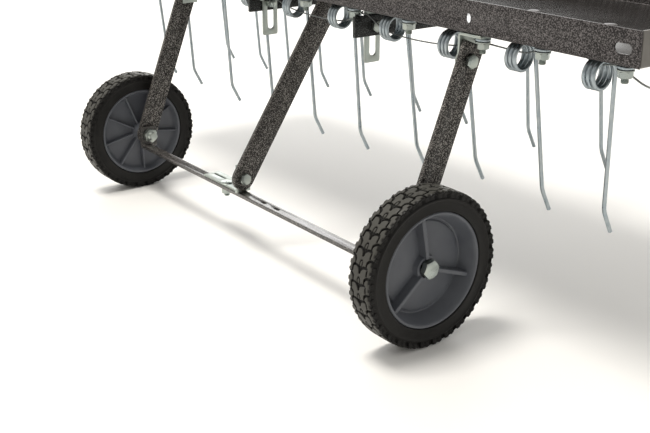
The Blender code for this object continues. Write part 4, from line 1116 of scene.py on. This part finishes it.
soften_node("hitch_pin", 0.0003, ZINC)
clip = placed(tube(clip_path(), CLIP_WIRE, 16), Matrix.Translation((0, PIN_Y, CLIP_HEIGHT)))
mesh = make_mesh("hitch_clip", clip)
add_piece("hitch_clip_wire", mesh, "hitch_clip", SPRING, ["hitch_clip"])


# Tyres
# Two solid tyres, moulded in black rubber and pressed on the rims. The tread has thirty blocks in each ring,
# bounded by curved grooves, its shoulders are notched, and each side has a raised ring.

TYRE_INNER = 0.0659
TYRE_HALF = 0.018
TREAD_BLOCKS = 30
COLUMNS = TREAD_BLOCKS * 26
ARC_RADIUS = 0.0074
TREAD_PERIOD = 2 * math.pi * WHEEL_RADIUS / TREAD_BLOCKS
FIRST_ARC = math.radians(57.5) * WHEEL_RADIUS
SHOULDER_ARC = math.radians(51.5) * WHEEL_RADIUS


# Black tyre rubber, moulded: nearly black with a dusty bloom over 18 mm. The outermost 1.2 mm of the tread is
# painted paler, a painted highlight for the light that falls on the block tops. The mould's grain is about
# 0.1 mm and too fine to show, so it is drawn at 0.8 mm.
def tyre_rubber():
    material, tree, shader, place, colour = drifting_finish(
        "tyre_rubber", 0.018, 3, (0.35, 0.75), ("131211", "1f1e1c"), (0.40, 0.54))
    grain = add_node(tree, "TexNoise", {"Vector": place, "Scale": 1 / 0.0008, "Detail": 3})
    spoke = add_node(tree, "Mapping", {
        "Vector": place, "Location": (0, -AXLE_Y, -WHEEL_RADIUS), "Scale": (0, 1, 1)})
    radius = add_node(tree, "VectorMath", {0: spoke}, "Value", operation="LENGTH")
    # Painted highlight: the tread tops, within 1.2 mm of the full radius, are lightened towards a paler grey.
    painted_tread_highlight = add_node(tree, "MapRange", {
        "Value": radius, "From Min": WHEEL_RADIUS - 0.0012, "From Max": WHEEL_RADIUS - 0.0002})
    fill(shader, {
        "Base Color": add_node(tree, "Mix", {0: painted_tread_highlight, 6: colour, 7: linear("484743")}, 2, data_type="RGBA"),
        "IOR": 1.30,
        "Normal": add_node(tree, "Bump", {"Height": grain, "Distance": 0.00010, "Strength": 0.4}),
    })
    return material


def groove(distance, width, depth):
    """How deep a groove is at a distance from its middle."""
    return depth * np.clip((width / 2 - distance) / 0.00045 + 0.5, 0, 1)


def groove_depth(x, along):
    """How deep the tread is cut, across it at x from the middle and along it at a length round the wheel."""
    across = np.abs(x)
    depth = np.zeros_like(x + along)
    for centre, first, inner, outer in (
        (0.0075, FIRST_ARC, 0.0, 0.0114), (0.0155, SHOULDER_ARC, 0.0082, 0.0182),
    ):
        up = (along - first + TREAD_PERIOD / 2) % TREAD_PERIOD - TREAD_PERIOD / 2
        away = np.abs(np.hypot(across - centre, up) - ARC_RADIUS)
        inside = (up > -0.0006) & (across > inner) & (across < outer)
        depth = np.maximum(depth, np.where(inside, groove(away, 0.0025, 0.0024), 0))
    up = (along - FIRST_ARC + TREAD_PERIOD / 2) % TREAD_PERIOD - TREAD_PERIOD / 2
    inside = (up > -0.0008) & (up < 0.0062)
    depth = np.maximum(depth, np.where(inside, groove(np.abs(across - 0.0112), 0.0019, 0.0020), 0))
    up = (along - math.radians(52) * WHEEL_RADIUS + TREAD_PERIOD / 2) % TREAD_PERIOD - TREAD_PERIOD / 2
    lens = np.abs(np.hypot(across, up * 0.57) - 0.0021)
    return np.maximum(depth, groove(lens, 0.0011, 0.0016))


def tyre_solid():
    """The tyre round its own axis: sidewall with its raised ring, grooved tread, and the seat on the rim."""
    tread_x = np.linspace(TYRE_HALF - 0.0006, 0.0006 - TYRE_HALF, 58)
    outer = [(0.0171, 0.0661), (0.0178, 0.0668), (0.0176, 0.0690), (0.0171, 0.0712), (0.0170, 0.0765),
             (0.0172, 0.0780), (0.0179, 0.0789), (0.0180, 0.0797), (0.0177, 0.0805), (0.0166, 0.0812),
             (0.0165, 0.0836), (0.0170, 0.0850), (0.0179, 0.0868)]
    turns = np.linspace(0, 2 * math.pi, COLUMNS, endpoint=False)
    along = (math.pi - turns) * WHEEL_RADIUS
    lug = 0.5 + 0.5 * np.cos((along - SHOULDER_ARC - 0.004) / TREAD_PERIOD * 2 * math.pi)
    small = 0.5 + 0.5 * np.cos((along - SHOULDER_ARC + 0.0053) / TREAD_PERIOD * 2 * math.pi)
    notch = 0.0022 * np.clip((lug - 0.76) / 0.1, 0, 1) + 0.0010 * np.clip((small - 0.86) / 0.08, 0, 1)
    rings = []
    for x, r in outer:
        inset = notch * min(1, max(0, (r - 0.0815) / 0.003))
        rings.append((x - inset, np.full(COLUMNS, r)))
    for x in tread_x:
        crown = 0.0010 * (abs(x) / TYRE_HALF) ** 6
        edge = notch * min(1, max(0, (abs(x) - 0.0145) / 0.002))
        deep = np.maximum(groove_depth(np.full(COLUMNS, x), along), edge)
        rings.append((np.full(COLUMNS, x), WHEEL_RADIUS - crown - deep))
    for x, r in outer[::-1]:
        inset = notch * min(1, max(0, (r - 0.0815) / 0.003))
        rings.append((-x + inset, np.full(COLUMNS, r)))
    rings.append((np.full(COLUMNS, -0.0165), np.full(COLUMNS, TYRE_INNER)))
    rings.append((np.full(COLUMNS, 0.0165), np.full(COLUMNS, TYRE_INNER)))
    stack = [np.stack([x, r * np.cos(turns), WHEEL_RADIUS + r * np.sin(turns)], 1) for x, r in rings]
    return skin(stack, closed=True)


RUBBER = tyre_rubber()
for side in (1, -1):
    points, faces = tyre_solid()
    points[:, 0] = side * (points[:, 0] + HALF_TRACK)
    name = side_name("tyre", side)
    mesh = make_mesh(name, (points, faces), 38)
    add_piece(name + "_tread", mesh, side_name("wheel", side), RUBBER, [name])


# Rims
# Two dished wheels moulded in one piece from blue-grey plastic: a lip, a sloping barrel, a web with three
# ribs outside and nine inside, and a hub tube in which the axle bolt turns.


# Polypropylene, injection moulded and dyed blue-grey: a dull, even skin with flow marks of 30 mm. The mould's
# spark texture is about 0.1 mm and too fine to show, so it is drawn at 0.6 mm.
def moulded_plastic():
    material, tree, shader, place, colour = drifting_finish(
        "moulded_grey_plastic", 0.03, 3, (0.3, 0.7), ("53565d", "5d6066"), (0.42, 0.52))
    spark = add_node(tree, "TexNoise", {"Vector": place, "Scale": 1 / 0.0006, "Detail": 2})
    fill(shader, {"Normal": add_node(tree, "Bump", {"Height": spark, "Distance": 0.00006, "Strength": 0.4})})
    return material


def rim_solid():
    """The turned form of the rim, its outer side towards +Z."""
    profile = [
        (0.0618, 0.0158), (0.0626, 0.0167), (0.0636, 0.0172), (0.0646, 0.0172), (0.0655, 0.0164),
        (0.0655, -0.0164), (0.0646, -0.0172), (0.0634, -0.0172), (0.0622, -0.0164), (0.0596, -0.0100),
        (0.0586, -0.0080), (0.0570, -0.0062), (0.0545, -0.0052), (0.0160, -0.0046), (0.0146, -0.0052),
        (0.0138, -0.0064), (0.0133, -0.0100), (0.0131, -0.0260), (0.0127, -0.0266), (0.0072, -0.0266),
        (0.0067, -0.0260), (0.0067, 0.0030), (0.0108, 0.0032), (0.0110, 0.0066), (0.0113, 0.0070),
        (0.0136, 0.0070), (0.0141, 0.0066), (0.0144, 0.0012), (0.0152, -0.0004), (0.0165, -0.0010),
        (0.0485, -0.0010), (0.0506, -0.0016), (0.0518, -0.0030), (0.0534, -0.0034), (0.0546, -0.0028),
        (0.0556, -0.0006), (0.0584, 0.0064), (0.0606, 0.0124),
    ]
    return turned(profile, 128)


def rib_solid(turn, near, far, base, top, thick):
    """A rib from near to far along the radius, a little thinner at its top."""
    rings = []
    for level, half in ((base, thick / 2 + 0.0004), (top - 0.0006 * np.sign(top - base), thick / 2),
                        (top, thick / 2 - 0.0006)):
        rings.append([(near, -half, level), (far, -half, level), (far, half, level), (near, half, level)])
    return placed(skin(rings), Matrix.Rotation(turn, 4, "Z"))


PLASTIC = moulded_plastic()
for side in (1, -1):
    pieces = [rim_solid()]
    for rib in range(3):
        pieces.append(rib_solid(math.radians(190 + 120 * rib), 0.0125, 0.0612, -0.0020, 0.0104, 0.0046))
    for rib in range(9):
        pieces.append(rib_solid(math.radians(178 + 40 * rib), 0.0120, 0.0612, -0.0030, -0.0130, 0.0022))
    outward = Matrix.Rotation(math.radians(90 * side), 4, "Y")
    solid = placed(merged(*pieces), Matrix.Translation((side * HALF_TRACK, 0, WHEEL_RADIUS)) @ outward)
    name = side_name("wheel_rim", side)
    add_piece(name + "_moulding", make_mesh(name, solid, 32), side_name("wheel", side), PLASTIC, [name])


# Floor and light
# A plain white floor, one wide soft lamp above, a softer one that faces the camera from beyond the machine,
# and a pale world that is brighter on that side.

FLOOR_HALF = 12

material, tree, shader, place = new_finish("white_floor")
fill(shader, {"Base Color": linear("f4f3f1"), "Roughness": 0.6})
work = bmesh.new()
bmesh.ops.create_grid(work, x_segments=1, y_segments=1, size=FLOOR_HALF)
floor_mesh = bpy.data.meshes.new("floor")
work.to_mesh(floor_mesh)
work.free()
floor_mesh.materials.append(material)
ground = bpy.data.objects.new("floor", floor_mesh)
scene.collection.objects.link(ground)

world = bpy.data.worlds.new("studio")
scene.world = world
world.use_nodes = True
tree = world.node_tree
heading = add_node(tree, "TexCoord", {}, "Generated")
toward = add_node(tree, "VectorMath", {0: heading, 1: (-0.80, 0.55, 0.25)}, "Value", operation="DOT_PRODUCT")
strength = add_node(tree, "MapRange", {
    "Value": toward, "From Min": -0.9, "From Max": 0.9, "To Min": 0.38, "To Max": 1.05})
fill(tree.nodes["Background"], {"Strength": strength, "Color": linear("f6f4ef")})


def lamp(name, place, aim, width, depth, power, colour):
    """A soft box light that is aimed at a point."""
    data = bpy.data.lights.new(name, "AREA")
    data.shape = "RECTANGLE"
    data.size = width
    data.size_y = depth
    data.energy = power
    data.color = linear(colour)[:3]
    item = bpy.data.objects.new(name, data)
    item.location = place
    item.rotation_euler = (Vector(aim) - Vector(place)).to_track_quat("-Z", "Y").to_euler()
    scene.collection.objects.link(item)


lamp("overhead", (-0.35, AXLE_Y - 0.65, 3.0), (-0.1, AXLE_Y + 0.1, 0), 1.0, 1.0, 72, "fffbf4")
lamp("behind", (-2.6, AXLE_Y + 2.3, 1.3), (0, AXLE_Y + 0.1, 0.1), 2.6, 1.7, 40, "ffffff")
